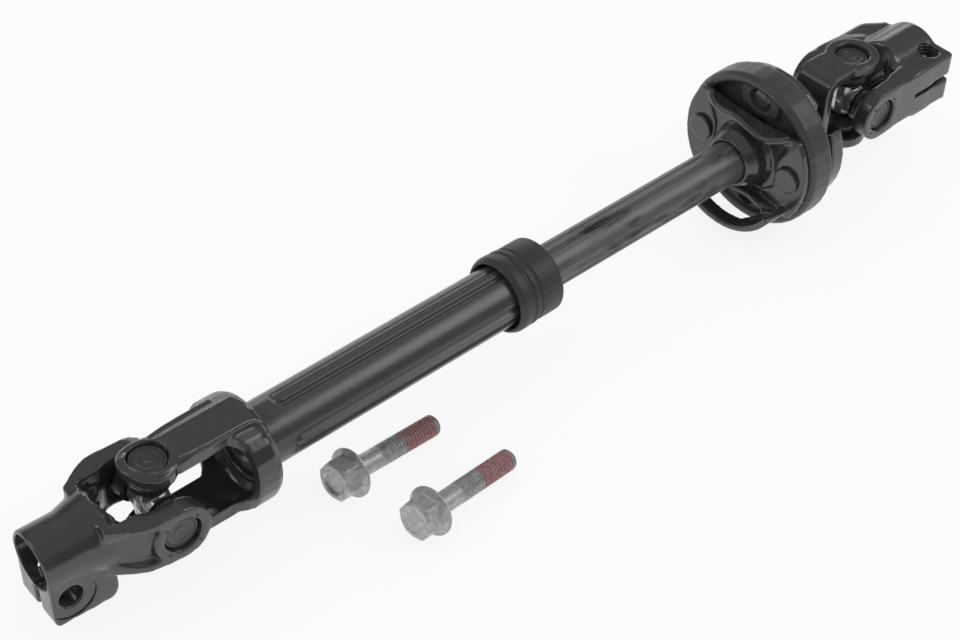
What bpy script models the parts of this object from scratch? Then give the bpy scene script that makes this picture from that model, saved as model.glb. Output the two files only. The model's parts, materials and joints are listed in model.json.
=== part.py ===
"""Steering intermediate shaft: two cross joints, a telescoping tube and a riveted rubber coupling."""

from math import atan2, cos, pi, radians, sin

import bmesh
import bpy

MM = 0.001

# Stations along the shaft, measured from the front face of the coupling ring
LOWER_JOINT = -277.5 * MM
UPPER_JOINT = 55.4 * MM
RING_WIDTH = 11.7 * MM
TUBE_START = -241.0 * MM
TUBE_END = -113.0 * MM
COLLAR_END = -110.9 * MM
INNER_START = -172.0 * MM

# How each end yoke lies in its joint at rest: a turn about the cross's upright pins, then about its others
LOWER_YAW = radians(-4.4)
LOWER_PITCH = radians(2.3)
UPPER_YAW = radians(0)
UPPER_PITCH = radians(0)

# Lower and upper cross joints
EAR_FACE = 19.2 * MM
CUP_SINK = 1.7 * MM
CUP_R = 6.4 * MM
CUP_DEPTH = 5.6 * MM
CUP_WALL = 1.25 * MM
CUP_FLOOR = 1.3 * MM
PRESS_GAP = 0.28 * MM
RUN_GAP = 0.3 * MM
TRUNNION_R = 4.0 * MM
CROSS_BODY_R = 6.2 * MM
CROSS_SHOULDER = 6.6 * MM
SEAL_WALL = 0.9 * MM
SEAL_FLARE = 2.0 * MM
SEAL_RIDGES = 2

# Clamp yokes
HUB_R = 11.1 * MM
CROTCH = 14.6 * MM
CROTCH_ROUND = 8.5 * MM
SADDLE_HALF = 10.9 * MM
CLAMP_EAR_R = 10.6 * MM
CLAMP_EAR_T = 6.6 * MM
ARM_TOP = 10.9 * MM
ARM_LOW = 9.4 * MM
POCKET_DEPTH = 2.6 * MM
POCKET_TOP_LIP = 2.0 * MM
POCKET_LOW_LIP = 3.4 * MM
BORE_R = 9.5 * MM
SPLINE_R = 8.6 * MM
SPLINE_DEPTH = 0.7 * MM
SPLINE_TEETH = 15
LEAD_IN = 6.0 * MM
SLIT = 2.2 * MM
BLOCK_DROP = 21.2 * MM
BLOCK_LENGTH = 23.2 * MM
PINCH_OFFSET = 11.4 * MM
PINCH_FROM_END = 7.0 * MM
PINCH_HOLE_R = 4.1 * MM
SPOTFACE_R = 8.5 * MM
SPOTFACE_DEPTH = 0.6 * MM
LOWER_REACH = 43.0 * MM
UPPER_REACH = 41.6 * MM
UPPER_BLOCK_DROP = 19.0 * MM

# Drawn tube yoke
EAR_CROWN = 0.3 * MM
YOKE_R = EAR_FACE + EAR_CROWN
YOKE_WALL = 3.9 * MM
YOKE_REACH = 38.9 * MM
YOKE_ROUND = 3.0 * MM
WINDOW_BASE = 28.5 * MM
TUBE_EAR_R = 9.9 * MM
TUBE_EAR_HALF = 7.1 * MM
BOSS_R = 8.7 * MM
BOSS_DEPTH = 7.2 * MM

# Outer tube, flutes and collar
TUBE_R = 11.4 * MM
TUBE_BORE_R = 8.75 * MM
FLUTE_DEPTH = 1.0 * MM
FLUTE_COUNT = 4
FLUTE_START = -229.0 * MM
COLLAR_LENGTH = 20.3 * MM
COLLAR_R = 14.1 * MM
COLLAR_MOUTH_R = 12.3 * MM
COLLAR_LIP = 1.9 * MM

# Inner shaft
INNER_R = 8.2 * MM
INNER_GROOVE = 0.55 * MM

# Coupling
RING_R = 31.5 * MM
RING_BORE_R = 12.6 * MM
RIM_WALL = 4.0 * MM
WEB_SINK = 4.0 * MM
RIVET_INSET = 9.8 * MM
RIVET_PITCH_R = RING_R - RIVET_INSET
BOSS_HALF = 9.2 * MM
BOSS_SINK = 1.9 * MM
TAIL_SINK = 2.2 * MM
FLANGE_T = 3.0 * MM
FLANGE_INSET = 1.7 * MM
FLANGE_R = RING_R - FLANGE_INSET
FLANGE_WAIST = 15.8 * MM
DISH_SINK = 1.1 * MM
PAD_HALF = 6.1 * MM
LIP_REACH = 6.0 * MM
LIP_T = 2.3 * MM
FLANGE_COLLAR_R = 11.8 * MM
FLANGE_COLLAR_REACH = 12.5 * MM
HOOK_INSET = 2.0 * MM
HOOK_R = FLANGE_R - HOOK_INSET
HOOK_T = 2.4 * MM
HOOK_WIDTH = 6.3 * MM
HOOK_FROM = radians(-28)
HOOK_TO = radians(62)
HOOK_ROOT = radians(24)
LOWER_HOOK_REACH = 15.0 * MM
UPPER_HOOK_REACH = 9.8 * MM
RIVET_HEAD_R = 5.3 * MM
RIVET_HEAD_T = 1.6 * MM
RIVET_R = 3.1 * MM
TAIL_R = 4.4 * MM
TAIL_T = 1.5 * MM

# Upper flange yoke, a bent strap
STRAP_T = 4.4 * MM
STRAP_HALF = 8.0 * MM
STRAP_WEB = 22.9 * MM
STRAP_EAR_R = 10.5 * MM
STRAP_BEND = 6.5 * MM
STUB_R = 8.2 * MM
SPIGOT_R = 5.2 * MM

# Pinch bolts lying beside the shaft
BOLT_LENGTH = 40.0 * MM
BOLT_SHANK = 11.5 * MM
BOLT_R = 4.0 * MM
THREAD_R = 3.85 * MM
THREAD_CHAMFER = 1.4 * MM
BOLT_HEAD = 8.6 * MM
BOLT_FLANGE_R = 9.0 * MM
BOLT_FLANGE_T = 2.6 * MM
BOLT_HEX_R = 7.45 * MM
BOLT_DIMPLE_R = 4.6 * MM
BOLT_SEATS = ((-208.6 * MM, -15.2 * MM, radians(4.4)), (-199.9 * MM, -45.4 * MM, radians(6.4)))
BOLT_REACH = 54.45 * MM

# The frame's origin is under the middle of the whole part
LOWER_SPAN = LOWER_REACH * cos(LOWER_YAW) * cos(LOWER_PITCH) - HUB_R * sin(LOWER_YAW)
SHIFT_X = -(LOWER_JOINT - LOWER_SPAN + UPPER_JOINT + UPPER_REACH) / 2
SHIFT_Y = (BOLT_REACH - RING_R) / 2
SHIFT_Z = RING_R

TURNS = {
    "X": (0, pi / 2, 0),
    "-X": (0, -pi / 2, 0),
    "Y": (-pi / 2, 0, 0),
    "-Y": (pi / 2, 0, 0),
    "Z": (0, 0, 0),
    "-Z": (pi, 0, 0),
}

PAINTS = {
    "black_paint": ((0.012, 0.012, 0.013), 0.28, 0.0),
    "tube_paint": ((0.016, 0.016, 0.018), 0.32, 0.0),
    "grey_plastic": ((0.045, 0.046, 0.048), 0.62, 0.0),
    "shaft_steel": ((0.13, 0.13, 0.135), 0.38, 0.9),
    "rubber": ((0.02, 0.02, 0.021), 0.7, 0.0),
    "seal_rubber": ((0.05, 0.05, 0.05), 0.5, 0.0),
    "cup_steel": ((0.03, 0.03, 0.032), 0.3, 0.5),
    "bare_steel": ((0.45, 0.44, 0.42), 0.4, 1.0),
    "needle_steel": ((0.5, 0.5, 0.5), 0.25, 1.0),
    "zinc": ((0.36, 0.37, 0.38), 0.42, 1.0),
}


# Scene and materials

def clear_scene():
    for obj in list(bpy.data.objects):
        bpy.data.objects.remove(obj, do_unlink=True)
    for collection in list(bpy.data.collections):
        bpy.data.collections.remove(collection)


def new_collection(name):
    collection = bpy.data.collections.new(name)
    bpy.context.scene.collection.children.link(collection)
    return collection


def material(name):
    found = bpy.data.materials.get(name)
    if found:
        return found
    colour, roughness, metallic = PAINTS[name]
    found = bpy.data.materials.new(name)
    found.use_nodes = True
    shader = found.node_tree.nodes["Principled BSDF"]
    shader.inputs["Base Color"].default_value = (*colour, 1)
    shader.inputs["Roughness"].default_value = roughness
    shader.inputs["Metallic"].default_value = metallic
    found.diffuse_color = (*colour, 1)
    return found


clear_scene()
PART = new_collection("steering_shaft")
CUTTERS = new_collection("cutters")
CUTTERS.hide_render = True


def empty(name, place, turn=(0, 0, 0), holder=None):
    """An empty that carries the pieces of one body or one sub-assembly."""
    above = holder
    holder = bpy.data.objects.new(name, None)
    holder.location = place
    holder.rotation_euler = turn
    holder.parent = above
    holder.empty_display_size = 0.02
    PART.objects.link(holder)
    return holder


ORIGIN = (SHIFT_X, SHIFT_Y, SHIFT_Z)
LOWER = empty("lower_joint_centre", (SHIFT_X + LOWER_JOINT, SHIFT_Y, SHIFT_Z))
LOWER_CROSS = empty("lower_cross_axes", (0, 0, 0), (0, 0, LOWER_YAW), LOWER)
LOWER_CLAMP = empty("lower_clamp_axes", (0, 0, 0), (0, LOWER_PITCH, pi), LOWER_CROSS)
UPPER = empty("upper_joint_centre", (SHIFT_X + UPPER_JOINT, SHIFT_Y, SHIFT_Z))
UPPER_CROSS = empty("upper_cross_axes", (0, 0, 0), (0, 0, UPPER_YAW), UPPER)
UPPER_CLAMP = empty("upper_clamp_axes", (0, 0, 0), (0, UPPER_PITCH, 0), UPPER_CROSS)
SLIDER = empty("slider_axis", ORIGIN)
TUBE = empty("tube_axis", ORIGIN)


# Mesh building

def finish(mesh_data, name, paint, holder, place=(0, 0, 0), turn=(0, 0, 0), cutter=False):
    """Make an object of a bmesh and put it under its holder."""
    bmesh.ops.recalc_face_normals(mesh_data, faces=mesh_data.faces)
    mesh = bpy.data.meshes.new(name)
    mesh_data.to_mesh(mesh)
    mesh_data.free()
    obj = bpy.data.objects.new(name, mesh)
    obj.location = place
    obj.rotation_euler = turn
    obj.parent = holder
    if cutter:
        CUTTERS.objects.link(obj)
        obj.display_type = "WIRE"
        obj.hide_render = True
    else:
        PART.objects.link(obj)
        mesh.materials.append(material(paint))
    return obj


def smooth(obj, limit=40):
    """Shade round sides smooth and keep the edges sharper than the limit."""
    mesh = obj.data
    mesh.shade_smooth()
    data = bmesh.new()
    data.from_mesh(mesh)
    for edge in data.edges:
        if len(edge.link_faces) == 2 and edge.calc_face_angle() > radians(limit):
            edge.smooth = False
    data.to_mesh(mesh)
    data.free()
    return obj


def ring_of(data, points):
    return [data.verts.new(point) for point in points]


def skin(data, first, second):
    """Join two rings of points, or a ring and one point, with faces."""
    count = max(len(first), len(second))
    for i in range(count):
        j = (i + 1) % count
        if len(first) == 1:
            data.faces.new((first[0], second[i], second[j]))
        elif len(second) == 1:
            data.faces.new((first[i], second[0], first[j]))
        else:
            data.faces.new((first[i], second[i], second[j], first[j]))


def revolve(name, profile, sides, paint, holder, axis="X", place=(0, 0, 0), cutter=False, hollow=False):
    """Turn a profile of (height, radius) points about its axis; a hollow one closes on itself."""
    data = bmesh.new()
    rings = []
    for height, radius in profile:
        if radius == 0:
            rings.append(ring_of(data, [(0, 0, height)]))
        else:
            angles = [2 * pi * i / sides for i in range(sides)]
            rings.append(ring_of(data, [(radius * cos(a), radius * sin(a), height) for a in angles]))
    for first, second in zip(rings, rings[1:]):
        skin(data, first, second)
    if hollow:
        skin(data, rings[-1], rings[0])
    return smooth(finish(data, name, paint, holder, place, TURNS[axis], cutter))


def disc(name, radius, low, high, sides, holder, axis, place=(0, 0, 0)):
    """A plain round cutter between two heights along its axis."""
    profile = [(low, 0), (low, radius), (high, radius), (high, 0)]
    return revolve(name, profile, sides, "", holder, axis, place, cutter=True)


def extrude(name, outline, low, high, paint, holder, plane="XY", place=(0, 0, 0), turn=(0, 0, 0),
            cutter=False):
    """Extrude a closed outline across its plane, between two depths."""
    order = {
        "XY": lambda u, v, w: (u, v, w),
        "XZ": lambda u, v, w: (u, w, v),
        "YZ": lambda u, v, w: (w, u, v),
    }
    put = order[plane]
    data = bmesh.new()
    first = ring_of(data, [put(u, v, low) for u, v in outline])
    second = ring_of(data, [put(u, v, high) for u, v in outline])
    skin(data, first, second)
    data.faces.new(first)
    data.faces.new(second)
    return smooth(finish(data, name, paint, holder, place, turn, cutter))


def box(name, low, high, holder, place=(0, 0, 0), turn=(0, 0, 0)):
    outline = [(low[0], low[1]), (high[0], low[1]), (high[0], high[1]), (low[0], high[1])]
    return extrude(name, outline, low[2], high[2], "", holder, "XY", place, turn, cutter=True)


def arc(centre, radius, start, end, steps):
    """Points on an arc, angles in degrees."""
    points = []
    for i in range(steps + 1):
        angle = radians(start + (end - start) * i / steps)
        points.append((centre[0] + radius * cos(angle), centre[1] + radius * sin(angle)))
    return points


def mirrored(half):
    """Close a half outline, given above the first axis, with its mirror image."""
    return half + [(u, -v) for u, v in reversed(half) if abs(v) > 1e-9]


def boolean(target, tool, operation):
    modifier = target.modifiers.new(operation.lower(), "BOOLEAN")
    modifier.operation = operation
    modifier.solver = "EXACT"
    modifier.object = tool


def join(target, *tools):
    for tool in tools:
        boolean(target, tool, "UNION")


def cut(target, *tools):
    for tool in tools:
        boolean(target, tool, "DIFFERENCE")


def common(target, tool):
    boolean(target, tool, "INTERSECT")


# Cross joints

def cup_face():
    return EAR_FACE - CUP_SINK


def cup_mouth():
    return cup_face() - CUP_DEPTH


def trunnion_end():
    return cup_face() - CUP_FLOOR - RUN_GAP


def cross(name, holder):
    """Forged cross: two turned arms through a rounded middle."""
    end = trunnion_end()
    root = CROSS_SHOULDER
    half = [
        (end, 0), (end, TRUNNION_R - 0.5 * MM), (end - 0.5 * MM, TRUNNION_R),
        (root + 0.6 * MM, TRUNNION_R),
    ]
    half += [(root, TRUNNION_R + 1.0 * MM), (root * 0.5, CROSS_BODY_R * 0.94)]
    profile = half + [(-height, radius) for height, radius in reversed(half)]
    body = revolve(name, profile, 12, "bare_steel", holder, "Z")
    arms = revolve(name + "_arms", profile, 12, "", holder, "Y", cutter=True)
    join(body, arms)
    return body


def cup(name, holder, axis):
    """Bearing cup, open towards the cross."""
    face = cup_face()
    low = cup_mouth()
    inner = CUP_R - CUP_WALL
    profile = [(face, 0), (face, CUP_R - 0.5 * MM), (face - 0.5 * MM, CUP_R)]
    profile += [(low, CUP_R), (low, inner), (face - CUP_FLOOR, inner), (face - CUP_FLOOR, 0)]
    return revolve(name, profile, 14, "cup_steel", holder, axis)


def needles(name, holder, axis):
    """The ring of needle rollers between a cup and its trunnion, as one ring."""
    low = cup_mouth() + 0.3 * MM
    high = cup_face() - CUP_FLOOR - 0.3 * MM
    outer = CUP_R - CUP_WALL - RUN_GAP
    inner = TRUNNION_R + RUN_GAP
    profile = [(high, inner), (high, outer), (low, outer), (low, inner)]
    return revolve(name, profile, 10, "needle_steel", holder, axis, hollow=True)


def seal(name, holder, axis):
    """Ridged rubber seal that widens from the cross to the cup."""
    low = CROSS_SHOULDER + 1.0 * MM
    high = cup_mouth() - RUN_GAP
    inner = TRUNNION_R + RUN_GAP
    pitch = (high - low) / SEAL_RIDGES
    outer = []
    for i in range(SEAL_RIDGES):
        base = low + pitch * i
        grown = inner + SEAL_WALL + SEAL_FLARE * (i + 0.5) / SEAL_RIDGES
        outer += [(base, grown - 0.35 * MM), (base + pitch * 0.55, grown + 0.35 * MM)]
    outer.append((high, inner + SEAL_WALL + SEAL_FLARE))
    profile = [(high, inner)] + outer[::-1] + [(low, inner)]
    return revolve(name, profile, 12, "seal_rubber", holder, axis, hollow=True)


def joint_internals(prefix, inner_yoke, cross_holder, clamp, near, far):
    """The cross with its seals, and the cups and needles pressed in each yoke."""
    cross(prefix + "_cross", cross_holder)
    places = (("top", "Z", "Z", inner_yoke), ("bottom", "-Z", "-Z", inner_yoke))
    places += (("front", "-Y", near, clamp), ("rear", "Y", far, clamp))
    for word, seal_axis, axis, yoke in places:
        cup(f"{prefix}_cup_{word}", yoke, axis)
        needles(f"{prefix}_needles_{word}", yoke, axis)
        seal(f"{prefix}_seal_{word}", cross_holder, seal_axis)


def bore_ears(target, holder, axis):
    """Cut the bearing bores through a yoke's two ears."""
    past = 1.2 * EAR_FACE
    bore = disc(target.name + "_cup_bores", CUP_R + PRESS_GAP, -past, past, 18, holder, axis)
    cut(target, bore)


# Clamp yokes: ears on the Y axis, hub towards local +X, slit towards local -Z

def clamp_arms(name, holder):
    """Two forged arms: a side view of round ears cut to a plan view of a fork."""
    side = arc((0, 0), CLAMP_EAR_R, 80, 280, 11)
    side += [(CROTCH * 0.7, -ARM_LOW), (CROTCH * 1.6, -ARM_LOW)]
    side += [(CROTCH * 1.6, ARM_TOP), (CROTCH * 0.7, ARM_TOP)]
    arms = extrude(name, side, -EAR_FACE, EAR_FACE, "black_paint", holder, "XZ")
    inner = EAR_FACE - CLAMP_EAR_T
    half = [(-2 * CLAMP_EAR_R, inner), (-2 * CLAMP_EAR_R, EAR_FACE)] + arm_curve(EAR_FACE)
    floor = arc((CROTCH - CROTCH_ROUND, inner - CROTCH_ROUND), CROTCH_ROUND, 0, 90, 5)
    fork = half + [(u, -v) for u, v in reversed(half)]
    fork += [(u, -v) for u, v in reversed(floor)] + floor
    common(arms, extrude(name + "_plan", fork, -2 * HUB_R, 2 * HUB_R, "", holder, "XY", cutter=True))
    return arms


def arm_curve(face):
    """Outer line of an arm in plan, from the ear's face in to the hub."""
    start = 8.5 * MM
    end = CROTCH * 2 - 1 * MM
    points = []
    for i in range(6):
        share = i / 5
        ease = (1 - cos(pi * share ** 1.15)) / 2
        points.append((start + (end - start) * share, face + (HUB_R - 0.6 * MM - face) * ease))
    return points


def web_pockets(target, holder):
    """Forged pockets in the outer sides of both arms, following the arm from the ear's rim to the hub."""
    rim = arc((0, 0), CLAMP_EAR_R - 0.3 * MM, 46, -38, 5)
    low = -ARM_LOW + POCKET_LOW_LIP
    high = ARM_TOP - POCKET_TOP_LIP
    outline = rim + [(CROTCH, low), (CROTCH * 1.5, low + 1.5 * MM), (CROTCH * 1.75, 0)]
    outline += [(CROTCH * 1.5, high - 2 * MM), (CROTCH, high)]
    for word, side in (("front", -1), ("rear", 1)):
        plan = [(x, side * y) for x, y in arm_curve(EAR_FACE - POCKET_DEPTH)]
        plan = [(-CLAMP_EAR_R, plan[0][1])] + plan
        plan += [(2 * CROTCH, side * 2 * EAR_FACE), (-CLAMP_EAR_R, side * 2 * EAR_FACE)]
        tool = f"{target.name}_pocket_{word}"
        pocket = extrude(tool, outline, -2 * EAR_FACE, 2 * EAR_FACE, "", holder, "XZ", cutter=True)
        common(pocket, extrude(tool + "_plan", plan, -2 * HUB_R, 2 * HUB_R, "", holder, "XY", cutter=True))
        cut(target, pocket)


def clamp_yoke(name, holder, reach, drop, slit_turn, spotface):
    """Forged yoke with a split, pinch-bolted hub for a splined shaft."""
    yoke = clamp_arms(name, holder)
    start = CROTCH + 1 * MM
    hub_profile = [(start, 0), (start, HUB_R * 0.8), (start + 2.5 * MM, HUB_R), (reach - 0.7 * MM, HUB_R)]
    hub_profile += [(reach, HUB_R - 0.7 * MM), (reach, 0)]
    hub = revolve(name + "_hub", hub_profile, 26, "", holder, "X", cutter=True)
    turn = (slit_turn, 0, 0)
    start = reach - BLOCK_LENGTH
    end = reach - 0.3 * MM
    corner = 3.0 * MM
    outline = [(start, 0), (start, -drop + corner * 1.3)]
    outline += arc((start + corner * 1.2, -drop + corner), corner, 200, 270, 3)
    outline += arc((end - 1.2 * MM, -drop + 1.2 * MM), 1.2 * MM, 270, 360, 2) + [(end, 0)]
    half = HUB_R - 0.25 * MM
    block = extrude(name + "_block", outline, -half, half, "", holder, "XZ", turn=turn, cutter=True)
    web_pockets(yoke, holder)
    join(yoke, hub, block)
    bore = splined_bore(name + "_bore", CROTCH - 2 * MM, reach, holder)
    low_corner = (CROTCH + 5 * MM, -SLIT / 2, -2 * drop)
    slit = box(name + "_slit", low_corner, (reach + 2 * MM, SLIT / 2, 0), holder, turn=turn)
    place = pinch_place(reach, slit_turn)
    hole_axis = "Y" if slit_turn == 0 else "Z"
    pinch = disc(name + "_pinch_hole", PINCH_HOLE_R, -3 * half, 3 * half, 20, holder, hole_axis, place)
    cut(yoke, bore, slit, pinch)
    if spotface:
        low = half - SPOTFACE_DEPTH
        cut(yoke, disc(name + "_spotface", SPOTFACE_R, low, low + 6 * MM, 24, holder, spotface, place))
    bore_ears(yoke, holder, "Y")
    crotch_saddles(yoke, holder)
    return yoke


def crotch_saddles(target, holder):
    """Slopes cut above and below the crotch, so that the other yoke's ears can swing past."""
    outline = [(CROTCH - 6 * MM, 5.6 * MM), (CROTCH + 1.7 * MM, 5.6 * MM), (CROTCH + 6.2 * MM, 12.8 * MM)]
    outline.append((CROTCH - 6 * MM, 12.8 * MM))
    for word, side in (("top", 1), ("bottom", -1)):
        wedge = [(x, side * z) for x, z in outline]
        label = f"{target.name}_saddle_{word}"
        cut(target, extrude(label, wedge, -SADDLE_HALF, SADDLE_HALF, "", holder, "XZ", cutter=True))


def pinch_place(reach, slit_turn):
    """Where the pinch bolt crosses the slit."""
    along = reach - PINCH_FROM_END
    return (along, PINCH_OFFSET * sin(slit_turn), -PINCH_OFFSET * cos(slit_turn))


def splined_bore(name, low, reach, holder):
    """Cutter for a serrated bore with a plain lead-in at the hub's end."""
    step = reach - LEAD_IN
    data = bmesh.new()
    rings = []
    for station, toothed in ((low, True), (step, True), (step + 0.8 * MM, False), (reach + 2 * MM, False)):
        points = []
        for i in range(2 * SPLINE_TEETH):
            radius = SPLINE_R - SPLINE_DEPTH * (i % 2) if toothed else BORE_R
            angle = pi * (i + 0.5) / SPLINE_TEETH
            points.append((station, radius * cos(angle), radius * sin(angle)))
        rings.append(ring_of(data, points))
    for first, second in zip(rings, rings[1:]):
        skin(data, first, second)
    data.faces.new(rings[0])
    data.faces.new(rings[-1])
    return finish(data, name, "", holder, cutter=True)


# Tube yoke

def tube_yoke():
    """Drawn cup whose wall runs on as two narrow ears, with collars drawn in for the bearing cups."""
    base = YOKE_REACH
    inner = YOKE_R - YOKE_WALL
    tip = -1.4 * TUBE_EAR_R
    hole = TUBE_R + PRESS_GAP
    profile = [
        (tip, YOKE_R), (base - YOKE_ROUND, YOKE_R), (base - YOKE_ROUND * 0.3, YOKE_R - YOKE_ROUND * 0.3),
    ]
    profile += [(base, YOKE_R - YOKE_ROUND), (base, hole), (base - YOKE_WALL, hole)]
    profile += [
        (base - YOKE_WALL, inner - YOKE_ROUND * 0.7), (base - YOKE_WALL - YOKE_ROUND * 0.7, inner),
        (tip, inner),
    ]
    yoke = revolve("tube_yoke", profile, 28, "black_paint", LOWER, "X", hollow=True)
    neck_start = 7.2 * MM
    flare = WINDOW_BASE - 8 * MM
    half = arc((0, 0), TUBE_EAR_R, 180, 68, 7)
    half += [(neck_start, TUBE_EAR_HALF + 0.2 * MM), (flare, TUBE_EAR_HALF)]
    half += arc((flare - 0.4 * MM, TUBE_EAR_HALF + 8.4 * MM), 8.4 * MM, -70, 0, 4)
    half += [(WINDOW_BASE, 1.2 * YOKE_R), (2 * YOKE_REACH, 1.2 * YOKE_R)]
    plan = extrude("tube_yoke_plan", mirrored(half), -EAR_FACE, EAR_FACE, "", LOWER, "XY", cutter=True)
    common(yoke, plan)
    for word, axis in (("top", "Z"), ("bottom", "-Z")):
        top = EAR_FACE - 1.0 * MM
        low = EAR_FACE - BOSS_DEPTH
        profile = [(low, 0), (low, BOSS_R - 0.5 * MM), (low + 0.5 * MM, BOSS_R), (top, BOSS_R), (top, 0)]
        join(yoke, revolve("tube_yoke_boss_" + word, profile, 20, "", LOWER, axis, cutter=True))
    bore_ears(yoke, LOWER, "Z")
    return yoke


# Fluted tube, collar and inner shaft

def flute_depth(angle, station):
    """How far the wall is rolled in: two grooves round a rib, joined at the flute's end."""
    pitch = 2 * pi / FLUTE_COUNT
    off = (angle + pitch / 2) % pitch - pitch / 2
    off = abs(off) * 180 / pi
    run_in = station - FLUTE_START
    if run_in < 0:
        return 0
    if off > 16.5:
        return 0
    if run_in < 3.2 * MM:
        return FLUTE_DEPTH * 0.8 if off < 8 else 0
    return FLUTE_DEPTH if 4 < off < 14 else FLUTE_DEPTH * 0.15


def outer_tube():
    """Tube with four rolled flutes, wound ring by ring along its length."""
    spread = (-20, -13, -9, -5, 0, 5, 9, 13, 20, 32, 45, 58)
    angles = [2 * pi * k / FLUTE_COUNT + radians(a) for k in range(FLUTE_COUNT) for a in spread]
    stations = [TUBE_START, FLUTE_START - 0.6 * MM, FLUTE_START + 0.9 * MM, FLUTE_START + 4.4 * MM, TUBE_END]
    data = bmesh.new()
    rings = []
    for x in stations:
        radii = [TUBE_R - flute_depth(a, x) for a in angles]
        rings.append(ring_of(data, [(x, radius * cos(a), radius * sin(a)) for a, radius in zip(angles, radii)]))
    for x in (TUBE_END, TUBE_START):
        rings.append(ring_of(data, [(x, TUBE_BORE_R * cos(a), TUBE_BORE_R * sin(a)) for a in angles]))
    for first, second in zip(rings, rings[1:]):
        skin(data, first, second)
    skin(data, rings[-1], rings[0])
    return smooth(finish(data, "outer_tube", "tube_paint", TUBE))


def tube_collar():
    """Moulded collar at the tube's mouth: bead, rib and two grooves, then a plain barrel."""
    end = COLLAR_END
    start = end - COLLAR_LENGTH
    wiper = INNER_R + RUN_GAP
    profile = [
        (start + 0.8 * MM, COLLAR_MOUTH_R), (start, COLLAR_MOUTH_R + 0.7 * MM),
        (start + 0.5 * MM, COLLAR_R - 0.4 * MM),
    ]
    profile += [(start + 2.2 * MM, COLLAR_R + 0.4 * MM), (start + 5.2 * MM, COLLAR_R + 0.4 * MM)]
    profile += [(start + 5.9 * MM, COLLAR_R - 0.3 * MM), (start + 6.9 * MM, COLLAR_R - 0.3 * MM)]
    profile += [(start + 7.4 * MM, COLLAR_R + 0.25 * MM), (start + 8.9 * MM, COLLAR_R + 0.25 * MM)]
    profile += [(start + 9.4 * MM, COLLAR_R - 0.5 * MM), (start + 10.1 * MM, COLLAR_R - 0.5 * MM)]
    profile += [(start + 10.6 * MM, COLLAR_R), (end - 0.7 * MM, COLLAR_R), (end, COLLAR_R - 0.7 * MM)]
    profile += [(end, wiper), (end - COLLAR_LIP, wiper), (end - COLLAR_LIP, TUBE_R + PRESS_GAP)]
    profile += [(start + 8.0 * MM, TUBE_R + PRESS_GAP), (start + 7.0 * MM, COLLAR_MOUTH_R)]
    return revolve("tube_collar", profile, 22, "grey_plastic", TUBE, "X", hollow=True)


def inner_shaft():
    """Sliding shaft with a broad shallow groove under each flute, plain where the flange grips it."""
    spread = (-30, -18, -9, 9, 18, 30, 45)
    angles = [2 * pi * k / FLUTE_COUNT + radians(a) for k in range(FLUTE_COUNT) for a in spread]
    plain = -FLANGE_COLLAR_REACH - 6 * MM
    end = -0.6 * MM
    stations = [(INNER_START, 0.7), (INNER_START + 1 * MM, 0), (plain - 5 * MM, 0), (plain, 0), (end, 0)]
    data = bmesh.new()
    rings = []
    for index, (x, inset) in enumerate(stations):
        points = []
        for a in angles:
            off = abs(((a * 180 / pi) + 45) % 90 - 45)
            groove = INNER_GROOVE if off < 20 and index < 3 else 0
            radius = INNER_R - groove - inset * MM
            points.append((x, radius * cos(a), radius * sin(a)))
        rings.append(ring_of(data, points))
    for first, second in zip(rings, rings[1:]):
        skin(data, first, second)
    data.faces.new(rings[0])
    data.faces.new(rings[-1])
    return smooth(finish(data, "inner_shaft", "shaft_steel", SLIDER))


# Coupling. Both flanges are one stamping: ears on the Y axis, front towards local -X

def waist(y):
    """Height of the flange's long edge, a little higher at the ears."""
    return FLANGE_WAIST + 1.4 * MM * (y / (18 * MM)) ** 2


def flange_outline():
    """Two round ears joined by a waisted middle, in Y and Z."""
    half = 18.0 * MM
    corner = degrees_at(half, waist(half))
    top = [(half - 2 * half * i / 6, waist(half - 2 * half * i / 6)) for i in range(7)]
    left = arc((0, 0), FLANGE_R, 180 - corner * 0.82, 180 + corner * 0.82, 7)
    low = [(y, -z) for y, z in reversed(top)]
    right = arc((0, 0), FLANGE_R, -corner * 0.82, corner * 0.82, 7)
    return top + left + low + right


def degrees_at(y, z):
    return atan2(z, y) * 180 / pi


def hook(name, holder, reach):
    """Curved arm bent forward from the near ear's lower edge."""
    data = bmesh.new()
    rings = []
    steps = 12
    front = -reach
    for i in range(steps + 1):
        a = HOOK_FROM + (HOOK_TO - HOOK_FROM) * i / steps
        share = min(1, max(0, (a - HOOK_ROOT + radians(5)) / radians(10)))
        back = (front + HOOK_WIDTH) * (1 - share) + (-FLANGE_T * 0.4) * share
        corners = [(front, HOOK_R), (back, HOOK_R), (back, HOOK_R - HOOK_T), (front, HOOK_R - HOOK_T)]
        rings.append(ring_of(data, [(x, -r * sin(a), -r * cos(a)) for x, r in corners]))
    for first, second in zip(rings, rings[1:]):
        skin(data, first, second)
    data.faces.new(rings[0])
    data.faces.new(rings[-1])
    return finish(data, name, "", holder, cutter=True)


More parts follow.
